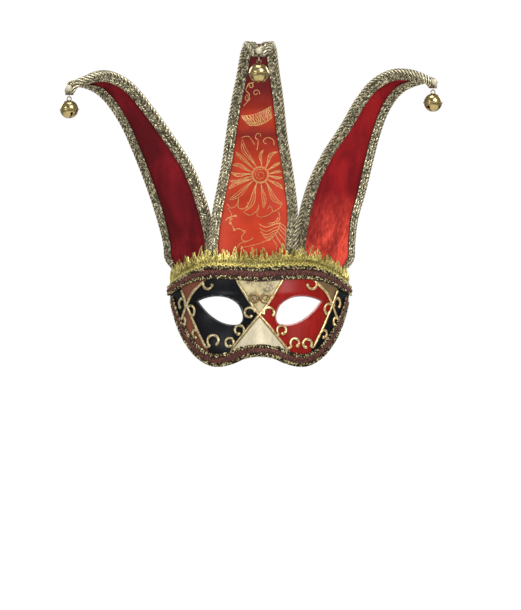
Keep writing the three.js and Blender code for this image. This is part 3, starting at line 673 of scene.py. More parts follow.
# Painted shade: a low tone down the sides of each ridge turns the gilt brown; the umber wiped over some
# curls lowers the tone too.
edge = add_node(gilt, "Attribute", {"attribute_name": "tone"}).outputs["Fac"]
umber_and_shade = add_node(gilt, "Mix", {**MIX, FIRST: "#6a4a22", FACTOR: edge, SECOND: colour})
dull = add_node(gilt, "MapRange", {"To Min": 0.28, "To Max": 0.46, "Value": mottle})
lumps = add_node(gilt, "Bump", {"Strength": 0.35, "Distance": 0.2 * MM, "Height": mottle})
fill(gilt, shader, {"Base Color": umber_and_shade, "Roughness": dull, "Normal": lumps})
print(len(gilt.node_tree.nodes), "nodes in the gilt paste")

# %% Gilt lines and scrolls
GILT_LINES = {
    "nose": [(20.5, 31), (10, 14), (0, 0), (-11, -13.8), (-24.6, -30.4)],
    "temple_fall": [(49, 30), (59, 20), CROSSING, (69.8, -5)],
    "cheek": [(69.5, 22), CROSSING, (56, -12), (47.4, -29)],
}
# Scrolls: middle x and z, radius, angle of the outer end, turns (negative runs clockwise), squeeze
SCROLLS = [
    (-4.9, 14.6, 4.4, 235, -1.25, 1), (5.2, 14.4, 4.4, -55, 1.25, 1), (-8.4, 1.8, 4.8, 10, 0.85, 1),
    (-17.6, -13.8, 4.5, -30, 0.9, 1), (-26.4, -24.8, 4.4, -25, 0.95, 0.9),
    (-40.6, -23.2, 5.4, 235, -0.82, 1), (-61.2, 3.2, 5.2, 115, -0.5, 0.7),
    (-69, 9.8, 5, -25, 0.75, 0.6), (-56.8, -17.2, 3.6, 20, 0.8, 0.7), (8.4, 2, 4.7, 200, -0.7, 1),
    (19.5, -13.8, 4.5, 230, -0.95, 1), (31.2, -25, 4.2, 225, -0.85, 1),
    (41.9, -25.8, 4.2, -35, 0.85, 1), (61.2, 5, 4.9, 65, 0.52, 0.75),
    (69.1, 10.2, 5, 205, -0.75, 0.6), (57, -17.2, 3.7, 160, -0.8, 0.75),
    (-45.6, 27.2, 4.3, 175, 0.54, 1), (46.2, 27.2, 4.3, 5, -0.54, 1),
    (-67.6, -6.2, 3.8, 115, -0.48, 0.5), (67.6, -6.2, 3.8, 65, 0.48, 0.5),
]
OUTER_SCROLLS = 35  # how far out the scrolls of the temples start
print(len(SCROLLS), "scrolls and", 2 * len(GILT_LINES), "lines")

# %% Paths of the gilt
SCROLL_TIGHTEN = 0.4  # share of the radius that is gone after one turn
SCROLL_STEPS = 30  # points in one turn
STEM_STEP = 0.6
NOSE_STEPS = 90  # points along a line
TEMPLE_STEPS = 60


def hermite(p1, p2, m1, m2, w):
    """Cubic curve from p1 to p2 with the slopes m1 and m2, at the share w of the way."""
    return p1 + m1 * w + (3 * p2 - 3 * p1 - 2 * m1 - m2) * w**2 + (2 * p1 - 2 * p2 + m1 + m2) * w**3


def spline(points, count):
    """Even smooth curve through points in the picture's plane."""
    points = np.array(points, float)
    last = len(points) - 1
    padded = np.concatenate([points[:1], points, points[-1:]])
    t = np.linspace(0, last, count)
    i = np.clip(t.astype(int), 0, last - 1)
    w = (t - i)[:, None]
    p0, p1, p2, p3 = (padded[i + k] for k in range(4))
    return hermite(p1, p2, (p2 - p0) / 2, (p3 - p1) / 2, w)


def mirrored(points, side):
    return [(side * x, z) for x, z in points]


def round_middle(x, z, reach, angle, squeeze=1):
    """Points round a middle, in the plane seen from the front."""
    return np.stack([x + squeeze * reach * np.cos(angle), z + reach * np.sin(angle)], axis=-1)


def scroll_path(scroll, lines):
    """A curl from the nearest place on a line in to its own middle."""
    x, z, radius, start, turns, squeeze = scroll
    t = np.linspace(0, 1, int(abs(turns) * SCROLL_STEPS))
    angle = math.radians(start) + turns * t * 2 * math.pi
    reach = radius * (1 - SCROLL_TIGHTEN * (turns * t) ** 2)
    curl = round_middle(x, z, reach, angle, squeeze)
    places = np.concatenate(lines)
    root = places[np.argmin(np.linalg.norm(places - curl[0], axis=1))]
    steps = max(int(np.linalg.norm(root - curl[0]) / STEM_STEP), 1)
    stem = root + (curl[0] - root) * np.linspace(0, 1, steps, endpoint=False)[:, None]
    return np.concatenate([stem, curl])


print("paths of the gilt are ready")

# %% Piped ridges
RIDGE_HALF = 1.3
RIDGE_LIFT = 0.55
RIDGE_SIDES = 12
SQUEEZE_WAVER = 0.1
SQUEEZE_ANGLE = 23  # radians of the waver along a ridge
GILT_TOP = 0.2  # shifts the painted shade, a brown, down the sides of a ridge
END_HALF = 0.55  # share of the width at the ends of a ridge
END_TAPER = 8
DROP_SWELL = 0.45
DROP_AT = 0.93
DROP_SPREAD = 0.07
WIPED_FROM = 10  # height above which the curls were wiped with umber
WIPED = 0.45


def ridge(path, swell_end, gilding=1.0):
    """A piped ridge along a path seen from the front, thicker at its end if it ends in a drop."""
    angle = angle_at(path[:, 0])
    z = path[:, 1]
    t = np.linspace(0, 1, len(path))
    squeeze = 1 + SQUEEZE_WAVER * np.sin(SQUEEZE_ANGLE * t + path[0, 0])
    squeeze = squeeze * np.clip(END_TAPER * np.minimum(t, 1 - t) + END_HALF, 0, 1)
    if swell_end:
        squeeze = squeeze + DROP_SWELL * swell(t - DROP_AT, DROP_SPREAD)
    centre = on_face(angle, z, np.full(len(z), RIDGE_LIFT))[None]
    half = (RIDGE_HALF * squeeze)[None]
    points, blocks, _ = sweep(centre, face_normal(angle, z)[None], half, half, 1.0, RIDGE_SIDES)
    # Painted shade: the tone is low down the sides of the ridge and full on its top.
    level = np.tile(np.sin(np.arange(RIDGE_SIDES) * 2 * math.pi / RIDGE_SIDES), len(path))
    return points, blocks, gilding * np.clip(GILT_TOP + level, 0, 1)


def make_relief(name, node, lines, scrolls):
    parts = [ridge(line, False) for line in lines]
    for scroll in scrolls:
        wiped = abs(scroll[0]) < OUTER_SCROLLS and scroll[1] > WIPED_FROM
        parts.append(ridge(scroll_path(scroll, lines), True, WIPED if wiped else 1.0))
    relief = mesh_piece(name, parts)
    finish_piece(relief, "mask", "gilt", [node], gilt)


lines = [spline(mirrored(GILT_LINES["nose"], side), NOSE_STEPS) for side in (-1, 1)]
scrolls = [s for s in SCROLLS if abs(s[0]) < OUTER_SCROLLS]
make_relief("piped_gilt_center", "gilt_center", lines, scrolls)
for name, side in (("left", -1), ("right", 1)):
    outer = (GILT_LINES["temple_fall"], GILT_LINES["cheek"])
    lines = [spline(mirrored(line, side), TEMPLE_STEPS) for line in outer]
    scrolls = [s for s in SCROLLS if side * s[0] > OUTER_SCROLLS]
    make_relief("piped_gilt_" + name, "gilt_" + name, lines, scrolls)

# %% [markdown]
# ## Gimp braid on the rim
# Gimp is a trimming braid: a corded band in the middle, with thread loops along both edges. Here the
# band is dark maroon and the loops are antique gold over a black ground. The band is a grid laid along
# the rim, with slanted ribs in its height. From arm's length a loop looks like a bead of thread, so
# each one is a short spindle, and the spindles lean to and fro from row to row.


# %% Place on a rim
def rim_place(table, inward, angle, step, lift):
    """Place and normal on the braid: step millimetres in from the rim, lift off the face."""
    angle, step, lift = np.broadcast_arrays(np.asarray(angle, float), step, lift)

    def rim_point(a):
        return face_point(a, height_on(table, HALF_WIDTH * np.sin(a)))

    nudge = 0.004
    z = height_on(table, HALF_WIDTH * np.sin(angle))
    along = unit(rim_point(angle + nudge) - rim_point(angle - nudge))
    move = np.cross(face_normal(angle, z), along) * (inward * step)[..., None]
    around, up = face_tangents(angle, z)
    rr = (around * around).sum(-1)
    uu = (up * up).sum(-1)
    ru = (around * up).sum(-1)
    mr = (move * around).sum(-1)
    mu = (move * up).sum(-1)
    det = rr * uu - ru * ru
    at_angle = angle + (mr * uu - mu * ru) / det
    at_z = z + (mu * rr - mr * ru) / det
    return on_face(at_angle, at_z, lift), face_normal(at_angle, at_z)


def step_lengths(path):
    return np.linalg.norm(np.diff(path, axis=0), axis=1)


def run_along(path):
    """Length of a path up to each of its points."""
    return np.concatenate([[0], np.cumsum(step_lengths(path))])


def even_angles(table, reach, count):
    """Angles round the head that lie evenly by length along a rim."""
    angle = np.linspace(-angle_at(reach), angle_at(reach), 1500)
    points = face_point(angle, height_on(table, HALF_WIDTH * np.sin(angle)))
    run = run_along(points)
    return np.interp(np.linspace(0, run[-1], count), run, angle), run[-1]


print("the top rim is", round(even_angles(TOP_EDGE, TEMPLE_X, 2)[1]), "mm long")

# %% Gimp thread
gimp, shader = new_material("rayon_and_gilt_gimp", {"Roughness": 0.55, "Specular IOR Level": 0.3})
place = add_node(gimp, "TexCoord").outputs["Object"]
tone = add_node(gimp, "Attribute", {"attribute_name": "tone"}).outputs["Fac"]
# Tones below a half are the maroon rayon and its black ground, and those above are gilt thread.
is_gilt = add_node(gimp, "Math", {"operation": "GREATER_THAN", 1: 0.5, 0: tone}).outputs["Value"]
rayon_share = add_node(gimp, "MapRange", {"From Max": 0.45, "Value": tone})
rayon = add_node(gimp, "Mix", {**MIX, FIRST: "#070505", SECOND: "#6b372c", FACTOR: rayon_share})
gilt_share = add_node(gimp, "MapRange", {"From Min": 0.55, "Value": tone})
thread_gold = add_node(gimp, "Mix", {**MIX, FIRST: "#3a3018", SECOND: "#efdfa8", FACTOR: gilt_share})
both = add_node(gimp, "Mix", {**MIX, FACTOR: is_gilt, FIRST: rayon, SECOND: thread_gold})
# Spun fibres, drawn 1.8 mm wide so that they show, break up both colours.
spun = add_node(gimp, "TexNoise", {"Scale": 1 / (1.8 * MM), "Detail": 4, "Vector": place})
broken = add_node(
    gimp, "MapRange", {"From Min": 0.38, "From Max": 0.62, "To Min": 0.25, "To Max": 1.75, "Value": spun}
)
colour = add_node(gimp, "Mix", {**MULTIPLY, FIRST: both, SECOND: broken})
shine = add_node(gimp, "Math", {"operation": "MULTIPLY", 1: 0.7, 0: is_gilt})
fill(gimp, shader, {"Base Color": colour, "Metallic": shine})
print(len(gimp.node_tree.nodes), "nodes in the gimp thread")


# %% Closed bands
def closed_band(top, bottom, inward, tone):
    """A closed band between two grids of points [along][across], with one tone or one for each point."""
    rings = np.concatenate([top, bottom[:, ::-1]], axis=1)
    rows, count, _ = rings.shape
    index = np.arange(rows * count).reshape(rows, count)
    beside = np.roll(index, -1, axis=1)
    quads = np.stack([index[:-1], index[1:], beside[1:], beside[:-1]], axis=-1).reshape(-1, 4)
    ends = [index[:1], index[-1:, ::-1]]
    if inward < 0:
        quads = quads[:, ::-1]
        ends = [end[:, ::-1] for end in ends]
    tones = np.broadcast_to(tone, top.shape[:2])
    tones = np.concatenate([tones, tones[:, ::-1]], axis=1)
    return rings.reshape(-1, 3), [quads, *ends], tones.reshape(-1)


print("helper for closed bands is ready")

# %% Rim braids
BRAID_WIDE = 12  # at the middle of the face
BRAID_NARROW = 9  # at the temples
BRAID_LIFT = 0.4
BRAID_OVERHANG = 0.6
TOP_BRAID_REACH = 82.4  # x where a braid ends at the temple
BOTTOM_BRAID_REACH = 80.2
RIB_PITCH = 2.2
RIB_STEPS = 7  # points along the braid for each rib
RIB_SLANT = 0.6
RIB_TALL = 0.7
RIB_TONE = 0.4
CORD_SHARE = 0.21  # half width of the corded middle, as a share of the braid's width
CORD_FOOT = 0.1
CORD_LIFT = 0.4
CORD_TALL = 0.6
CORD_ROUND = 0.97  # at 1 the corded middle would come down to nothing at its edges
GROUND_THICK = 0.45
GROUND_TONE = 0.05
BEAD_PITCH = 1.55
BEAD_LEAN = 0.3
BEAD_JITTER = 0.15
BEAD_SHARE = 0.055  # half length of a bead, as a share of the braid's width
BEAD_LIFT = 0.75
BEAD_ARCH = 0.25
BEAD_HALF = 0.36
BEAD_TALL = 0.4
BEAD_TAPER = np.array([0.45, 1, 0.45])
# Tones of the beads, and how often each comes
BEAD_TONES = [0.1, 0.56, 0.75, 1.0]
BEAD_ODDS = [0.2, 0.3, 0.25, 0.25]
# Rows of beads: share of the braid's width, slant, and 1 where a row is half a pitch further along
BEAD_ROWS = [(0.05, 1, 0), (0.14, -1, 1), (0.23, 1, 0), (0.77, -1, 1), (0.86, 1, 0), (0.95, -1, 1)]


def make_braid(name, node, table, inward, reach):
    _, length = even_angles(table, reach, 2)
    count = int(length / RIB_PITCH * RIB_STEPS)
    angle = even_angles(table, reach, count)[0][:, None]

    def lay(at, share, lift):
        width = BRAID_WIDE + (BRAID_NARROW - BRAID_WIDE) * (at / TEMPLE_ANGLE) ** 2
        return rim_place(table, inward, at, share * width - BRAID_OVERHANG, BRAID_LIFT + lift)

    # Black ground under the beads, a flat band of full width
    share = np.linspace(0, 1, 5)[None]
    sparse = angle[::RIB_STEPS]
    top = lay(sparse, share, GROUND_THICK)[0]
    parts = [closed_band(top, lay(sparse, share, 0)[0], inward, GROUND_TONE)]
    # Corded maroon middle with slanted ribs
    across = np.linspace(-1, 1, 11)[None]
    share = 0.5 + CORD_SHARE * across
    rib = 0.5 + 0.5 * np.cos(2 * math.pi * (np.arange(count)[:, None] / RIB_STEPS + RIB_SLANT * across))
    lift = CORD_LIFT + (CORD_TALL + RIB_TALL * rib) * np.sqrt(1 - CORD_ROUND * across**2)
    top = lay(angle, share, lift)[0]
    tones = GROUND_TONE + RIB_TONE * rib
    parts.append(closed_band(top, lay(angle, share, CORD_FOOT)[0], inward, tones))
    # Gilt thread beads, slanted by turns
    beads = int(length / BEAD_PITCH)
    places, _ = even_angles(table, reach, 2 * beads + 1)
    t = np.linspace(-1, 1, 3)[None]
    for share, slant, offset in BEAD_ROWS:
        at = places[offset : 2 * beads : 2]
        jitter = seeded.uniform(-BEAD_JITTER, BEAD_JITTER, (beads, 1))
        run = at[:, None] + np.gradient(at)[:, None] * (BEAD_LEAN * slant * t + jitter)
        path, normal = lay(run, share + BEAD_SHARE * t, BEAD_LIFT + BEAD_ARCH * (1 - t**2))
        tones = seeded.choice(BEAD_TONES, beads, p=BEAD_ODDS)
        parts.append(sweep(path, normal, BEAD_HALF * BEAD_TAPER, BEAD_TALL * BEAD_TAPER, tones, sides=5))
    braid = mesh_piece(name, parts)
    finish_piece(braid, "mask", "gimp", [node], gimp)


seeded = np.random.default_rng(11)
make_braid("gimp_top", "braid_top", TOP_EDGE, -1, TOP_BRAID_REACH)
make_braid("gimp_bottom", "braid_bottom", BOTTOM_EDGE, 1, BOTTOM_BRAID_REACH)

# %% [markdown]
# ## Horns
# Each horn is a strip of stiffened cloth, narrow at the tip, that stands up behind the brow, leans
# out and rolls forward at its end. A table of its two bound edges from seat to tip is enough: smooth
# curves through the edges give the strip, and its middle bulges towards the front. Cloth simulation
# would lose the wired, stiff look of these horns, so the strip is shaped directly.

# %% Edges of the horns
# Rows of left x, y, z, then right x, y, z, then the bulge. None means against the inside of the shell.
HORN_ROWS = {
    "left": [
        (-79.5, None, 23, -48.5, None, 32.5, 3.5),
        (-80.5, None, 36, -49, None, 45, 3.5),
        (-84.6, 69, 50, -40.6, 35.3, 57, 2.4),
        (-86.2, 66.5, 64, -39.6, 36.6, 67, 3),
        (-91.6, 58, 86, -45.4, 35.5, 95, 4),
        (-101, 51, 115, -58.7, 31, 131.5, 4),
        (-113.5, 43, 147.5, -79.7, 28, 164.5, 3.5),
        (-124, 37, 171, -95.7, 24, 186.5, 3),
        (-135, 29.5, 188, -113.5, 17.5, 207, 2.5),
        (-143.7, 21.5, 197, -130.4, 8.5, 216, 2),
        (-152, 13, 202, -143, -4, 214.5, 1.5),
        (-160, 5, 204.5, -152.5, -11.5, 209, 1),
        (-168.5, -4, 204, -159.5, -14.5, 204.5, 0.6),
        (-171.2, -11.8, 199, -162.6, -13.4, 199, 0.4),
        (-171.8, -13, 194.2, -163.8, -12.6, 194.2, 0.3),
    ],
    "center": [
        (-44, None, 32.5, 31, None, 33, 8.6),
        (-44, None, 43, 31, None, 43, 8.6),
        (-45, 26, 56, 32.4, 20, 56, 8.4),
        (-44.5, 26, 72, 33, 21.2, 72, 7.6),
        (-41.8, 25, 92, 33.8, 22, 92, 6.8),
        (-37.5, 23, 114.5, 31.6, 22, 114.5, 6),
        (-33.7, 21.5, 134, 28.9, 21.5, 134, 5),
        (-30.5, 18.5, 155, 25.3, 18.5, 155, 4),
        (-27.3, 14, 177, 22.7, 14, 177, 3.4),
        (-24.2, 9.5, 194, 20.9, 9.5, 194, 2.8),
        (-20, 2, 214, 17.8, 2, 214, 2.2),
        (-17.2, -6, 229.5, 15.8, -6, 229.5, 1.6),
        (-15, -14, 237, 14.4, -14, 237, 1.2),
        (-12.6, -22.5, 237.5, 12, -22.5, 237.5, 0.8),
        (-9.6, -28.5, 233, 8.6, -28.5, 233, 0.5),
        (-7, -30.6, 229, 6, -30.6, 229, 0.4),
        (-6, -31, 225.7, 5, -31, 225.7, 0.3),
    ],
    "right": [
        (35.5, None, 33, 79.5, None, 23, 6),
        (35.5, None, 44, 80.5, None, 36, 6),
        (31.8, 28.6, 57, 84.4, 69, 50, 4.4),
        (32, 29.4, 68, 85.4, 66.5, 64, 5),
        (36.8, 29.4, 96, 88, 58, 86.5, 5),
        (45.2, 29, 122.8, 95.2, 51, 112, 4.5),
        (56.5, 28, 145, 101.5, 44, 138.8, 4),
        (73.4, 25, 171, 107.2, 38.5, 161.4, 3.5),
        (85, 20, 191.4, 113.9, 32, 180.2, 3),
        (99.2, 12, 208.7, 121.6, 24, 193.2, 2.5),
        (116, 2.5, 217, 129.5, 15.5, 200.7, 2),
        (129, -6, 216.5, 137.5, 8, 204.5, 1.5),
        (139.5, -13.5, 212.5, 146, 1, 207, 1),
        (146, -17, 208, 153, -5, 207.5, 0.6),
        (148.4, -15.4, 203.4, 156.2, -12.8, 203.4, 0.4),
        (149, -14.6, 200.2, 156.8, -14.2, 200.2, 0.3),
    ],
}


print({side: len(rows) for side, rows in HORN_ROWS.items()}, "rows")

# %% Strip of a horn
SEAT_DEPTH = 6.9  # how far behind the painted face the seat of a horn lies
BINDING_FOLD = 1.3


def curve_through(points, t):
    """Smooth curve through points at t from 0 to 1, with gentler turns where they lie close."""
    last = len(points) - 1
    ends = np.concatenate([[2 * points[0] - points[1]], points, [2 * points[-1] - points[-2]]])
    i = np.clip(np.floor(t * last).astype(int), 0, last - 1)
    w = (t * last - i)[..., None]
    p0, p1, p2, p3 = (ends[i + k] for k in range(4))
    pairs = ((p0, p1), (p1, p2), (p2, p3))
    d0, d1, d2 = (np.sqrt(np.linalg.norm(b - a, axis=-1))[..., None] for a, b in pairs)
    m1 = d1 * ((p1 - p0) / d0 - (p2 - p0) / (d0 + d1) + (p2 - p1) / d1)
    m2 = d1 * ((p2 - p1) / d1 - (p3 - p1) / (d1 + d2) + (p3 - p2) / d2)
    return hermite(p1, p2, m1, m2, w)


def edge_points(rows, first):
    """Points of one bound edge, with the seat's rows laid against the shell."""
    points = []
    for row in rows:
        x, y, z = row[first : first + 3]
        if y is None:
            points.append(on_face(angle_at(x), np.float64(z), -SEAT_DEPTH))
        else:
            points.append(np.array((x, y, z), float))
    return np.array(points)


class Strip:
    """A horn's strip: its place, directions and width at along (0 to 1) and across (-1 to 1)."""

    def __init__(self, rows):
        self.left = edge_points(rows, 0)
        self.right = edge_points(rows, 3)
        self.bulges = np.array([row[6] for row in rows], float)

    def at(self, along, across, lift=0.0):
        along, across, lift = np.broadcast_arrays(np.asarray(along, float), across, lift)
        start = curve_through(self.left, along)
        wide = curve_through(self.right, along) - start
        nudge = 1e-4
        low = np.clip(along - nudge, 0, 1)
        high = np.clip(along + nudge, 0, 1)
        rising = sum(
            unit(curve_through(edge, high) - curve_through(edge, low)) for edge in (self.left, self.right)
        )
        span = np.linalg.norm(wide, axis=-1)
        width = span - 2 * BINDING_FOLD
        wide = wide / span[..., None]
        front = unit(np.cross(wide, rising))
        bulge = np.interp(along * (len(self.bulges) - 1), np.arange(len(self.bulges)), self.bulges)
        tilt = np.arctan2(-4 * bulge * across, width)[..., None]
        middle = start + wide * (span / 2)[..., None]
        point = middle + wide * (across * width / 2)[..., None]
        point = point + front * (bulge * (1 - across**2))[..., None]
        normal = front * np.cos(tilt) - wide * np.sin(tilt)
        sideways = wide * np.cos(tilt) + front * np.sin(tilt)
        return point + normal * lift[..., None], normal, sideways, width


STRIPS = {side: Strip(rows) for side, rows in HORN_ROWS.items()}


print(len(STRIPS), "strips")

# %% Lengths along a horn
LENGTH_STEPS = 400  # points at which lengths are measured


def edge_length(strip, across):
    return step_lengths(strip.at(np.linspace(0, 1, LENGTH_STEPS), across)[0]).sum()


def even_along(strip, across, count):
    """Places along a strip that lie evenly by length at one place across it."""
    t = np.linspace(0, 1, 1200)
    run = run_along(strip.at(t, across)[0])
    return np.interp(np.linspace(0, run[-1], count), run, t)


for side, strip in STRIPS.items():
    print(side, "horn is", round(edge_length(strip, 0.0)), "mm along its middle")

# %% [markdown]
# ## Velvet and brocade
# The outer horns are faced with crushed velvet: a short pile that is dark seen face on and lights up at
# grazing angles, which a sheen on a rough base gives. Low on each horn the brushed nap shows its brighter
# side as a painted sheen in the colour.
# The middle horn is satin brocade, a smooth weave with figures laid in gold thread, so its base is
# glossier, with fine ribs across, and the figures are made as raised thread further on.


# %% Crushed velvet
def make_velvet(name, dark, light, brushed, brushed_sheen_top):
    velvet, shader = new_material(
        name,
        {
            "Roughness": 0.85,
            "Specular IOR Level": 0.15,
            "Sheen Weight": 0.2,
            "Sheen Roughness": 0.35,
            "Sheen Tint": brushed,
        },
    )
    place = add_node(velvet, "TexCoord").outputs["Object"]
    # Nap patches are about 22 mm across and drawn out along the horn.
    drawn = add_node(velvet, "Mapping", {"Scale": (1, 1, 0.4), "Vector": place})
    nap = add_node(
        velvet, "TexNoise", {"Scale": 1 / (22 * MM), "Detail": 4, "Distortion": 0.8, "Vector": drawn}
    )
    share = add_node(velvet, "MapRange", {"From Min": 0.36, "From Max": 0.66, "Value": nap})
    # The pile itself is finer than a pixel, so it is drawn with a grain of 0.7 mm.
    pile = add_node(velvet, "TexNoise", {"Scale": 1 / (0.7 * MM), "Detail": 2, "Vector": place})
    base = add_node(velvet, "Mix", {**MIX, FIRST: dark, SECOND: light, FACTOR: share})
    # Painted sheen: low on the horn, where hands hold the mask, the nap is brushed one way, and its
    # brighter side is painted into the colour as a lighter patch.
    height = add_node(velvet, "SeparateXYZ", {"Vector": place})
    held_sheen_reach = add_node(
        velvet,
        "MapRange",
        {
            "From Min": 35 * MM,
            "From Max": brushed_sheen_top * MM,
            "To Min": 1.4,
            "To Max": 0.0,
            "Value": height.outputs["Z"],
        },
    )
    stroked = add_node(
        velvet, "MapRange", {"From Min": 0.36, "From Max": 0.56, "To Min": 0.35, "Value": nap}
    )
    # The crushed pile stands in tufts about 2.5 mm wide, which break up the painted sheen unevenly.
    tufts = add_node(velvet, "TexNoise", {"Scale": 1 / (2.5 * MM), "Detail": 3, "Vector": drawn})
    uneven = add_node(
        velvet,
        "MapRange",
        {"From Min": 0.36, "From Max": 0.64, "To Min": 0.5, "To Max": 1.4, "Value": tufts},
    )
    caught = add_node(velvet, "Math", {"operation": "MULTIPLY", 0: stroked, 1: uneven})
    brushed_sheen_share = add_node(velvet, "Math", {"operation": "MULTIPLY", "use_clamp": True, 0: held_sheen_reach, 1: caught})
    worn = add_node(velvet, "Mix", {**MIX, SECOND: brushed, FACTOR: brushed_sheen_share, FIRST: base})
    grain = add_node(
        velvet,
        "MapRange",
        {"From Min": 0.3, "From Max": 0.7, "To Min": 0.72, "To Max": 1.22, "Value": pile},
    )
    colour = add_node(velvet, "Mix", {**MULTIPLY, FIRST: worn, SECOND: grain})
    relief = add_node(velvet, "Bump", {"Strength": 0.6, "Distance": 0.3 * MM, "Height": pile})
    fill(velvet, shader, {"Base Color": colour, "Normal": relief})
    return velvet


# Third colour: the sheen tint and the painted sheen of the brushed patch; last number: top of that patch
# in mm.
VELVETS = {
    "left": make_velvet("crimson_velvet", "#520710", "#78101a", "#8e1c22", 80),
    "right": make_velvet("scarlet_velvet", "#6e0b13", "#96171b", "#e85240", 112),
}
print("velvets:", [velvet.name for velvet in VELVETS.values()])

# %% Satin brocade ground
brocade, shader = new_material(
    "satin_brocade",
    {"Specular IOR Level": 0.18, "Sheen Weight": 0.05, "Sheen Roughness": 0.4, "Sheen Tint": "#ff8a70"},
)
place = add_node(brocade, "TexCoord").outputs["Object"]
# Painted shade: the dye is darkened where the satin turns from the light, and each point of the cloth
# stores how dark.
depth = add_node(brocade, "Attribute", {"attribute_name": "tone"}).outputs["Fac"]
dye_and_painted_shade = add_node(brocade, "Mix", {**MIX, FIRST: "#b4361c", SECOND: "#560610", FACTOR: depth})
# Weft ribs are 0.25 mm in the cloth and drawn at 1 mm so that they show.
ribs = add_node(
    brocade,
    "TexWave",
    {
        "bands_direction": "Z",
        "Scale": 1 / (1.0 * MM) / (2 * math.pi),
        "Distortion": 0.6,
        "Detail": 1,
        "Vector": place,
    },
)
slubs = add_node(brocade, "TexNoise", {"Scale": 1 / (14 * MM), "Detail": 3, "Vector": place})
lustre = add_node(
    brocade, "MapRange", {"From Min": 0.3, "From Max": 0.7, "To Min": 0.82, "To Max": 1.15, "Value": slubs}
)
colour = add_node(brocade, "Mix", {**MULTIPLY, FIRST: dye_and_painted_shade, SECOND: lustre})
gloss = add_node(brocade, "MapRange", {"To Min": 0.36, "To Max": 0.52, "Value": ribs.outputs["Fac"]})
weave = add_node(brocade, "Bump", {"Strength": 0.3, "Distance": 0.15 * MM, "Height": ribs.outputs["Fac"]})
fill(brocade, shader, {"Base Color": colour, "Roughness": gloss, "Normal": weave})
print("brocade ground is ready")

# %% [markdown]
# A panel is a grid laid on its horn's strip. Solidify gives the stiffened cloth its thickness to both
# sides, and soft waves across the grid keep it from looking like sheet metal. The wave dies out at the
# edges, where the binding holds the cloth. The middle horn also has a soft buckle above its flower.

# %% Cloth panels of the horns
HORN_THICK = 2.4
WAVE_HEIGHT = 0.45
# Waves as strength, angle along the whole horn, angle from its middle to an edge, and start
WAVES = [(1, 31, 2.1, 0), (0.6, 53, -3.3, 1.7)]
TIP_EASE = 8  # the waves die out over the last eighth of the horn
PANEL_COLUMNS = 36
PANEL_ROWS = 260
BOUND_FROM = 0.66  # share of the half width where the binding starts beside a buckle
# Buckles as height, place along the horn and spread: a crease above the flower under a soft ridge
BUCKLES = {"left": [], "center": [(-1.8, 0.448, 0.02), (3.6, 0.49, 0.024)], "right": []}
# Painted shade of the brocade at heights along the horn: darker in the crease above the flower and towards
# the rolled top, where the satin turns from the light
PAINTED_SHADE_BY_HEIGHT = [(55, 0), (135, 0.1), (152, 0.42), (161, 0.8), (168, 0.3)]
PAINTED_SHADE_BY_HEIGHT += [(177, 0.2), (185, 0.6), (200, 0.9), (230, 1)]


def cloth_lift(side, along, across):
    """How far the cloth stands off its strip."""
    wave = sum(high * np.sin(up * along + out * across + start) for high, up, out, start in WAVES)
    lift = WAVE_HEIGHT * wave * (1 - across**2)
    for height, middle, spread in BUCKLES[side]:
        free = np.clip(1 - (across / BOUND_FROM) ** 2, 0, 1)
        lift = lift + height * swell(along - middle, spread) * free
    return lift * np.clip(TIP_EASE * (1 - along), 0, 1)


def tidy_mesh(piece):
    """Merges doubles, turns the faces outwards and smooths all but the sharp edges."""
    select_only(piece)
    bpy.ops.object.mode_set(mode="EDIT")
    bpy.ops.mesh.select_all(action="SELECT")
    bpy.ops.mesh.remove_doubles(threshold=1e-6)
    bpy.ops.mesh.normals_make_consistent(inside=False)
    bpy.ops.object.mode_set(mode="OBJECT")
    smooth(piece, 40)


def make_panel(side, material, slot):
    def place(u, v):
        along = (v + 1) / 2
        return STRIPS[side].at(along, u, cloth_lift(side, along, u))[0]

    panel = grid_piece("cloth_" + side, PANEL_COLUMNS, PANEL_ROWS, place)
    # Painted shade by height, stored as each point's tone, which the brocade reads.
    heights, shade_amounts = np.array(PAINTED_SHADE_BY_HEIGHT, float).T
    tones = np.interp([vertex.co.z / MM for vertex in panel.data.vertices], heights, shade_amounts)
    panel.data.attributes.new("tone", "FLOAT", "POINT").data.foreach_set("value", tones)
    apply_modifier(panel, "SOLIDIFY", {"thickness": HORN_THICK * MM, "offset": 0, "use_even_offset": True})
    tidy_mesh(panel)
    finish_piece(panel, "mask", slot, ["horn_" + side], material)
    # Points along the middle and the widths of the strip, which measure the cloth before it was sewn up in
    # its bindings and bent; nothing uses them
    middle, _, _, width = STRIPS[side].at(np.linspace(0, 1, LENGTH_STEPS), 0.0)


make_panel("left", VELVETS["left"], "velvet")
make_panel("center", brocade, "brocade")
make_panel("right", VELVETS["right"], "velvet")

# %% [markdown]
# ## Yarns
# Braids, lace and brocade figures are all made of yarn: a thread or foil with a light and a dark side.
# Each cord carries its own tone, and a fine noise breaks it up the way fibres or foil break the light.


# %% Yarn materials
def make_yarn(name, dark, light, grain, settings):
    """A yarn whose tone runs from dark to light, with glints about one grain long."""
    yarn, shader = new_material(name, settings)
    place = add_node(yarn, "TexCoord").outputs["Object"]
    tone = add_node(yarn, "Attribute", {"attribute_name": "tone"}).outputs["Fac"]
    fibre = add_node(yarn, "TexNoise", {"Scale": 1 / (grain * MM), "Detail": 2, "Vector": place})
    base = add_node(yarn, "Mix", {**MIX, FIRST: dark, SECOND: light, FACTOR: tone})
    glint = add_node(
        yarn, "MapRange", {"From Min": 0.3, "From Max": 0.7, "To Min": 0.4, "To Max": 1.5, "Value": fibre}
    )
    colour = add_node(yarn, "Mix", {**MULTIPLY, FIRST: base, SECOND: glint})
    fill(yarn, shader, {"Base Color": colour})
    return yarn


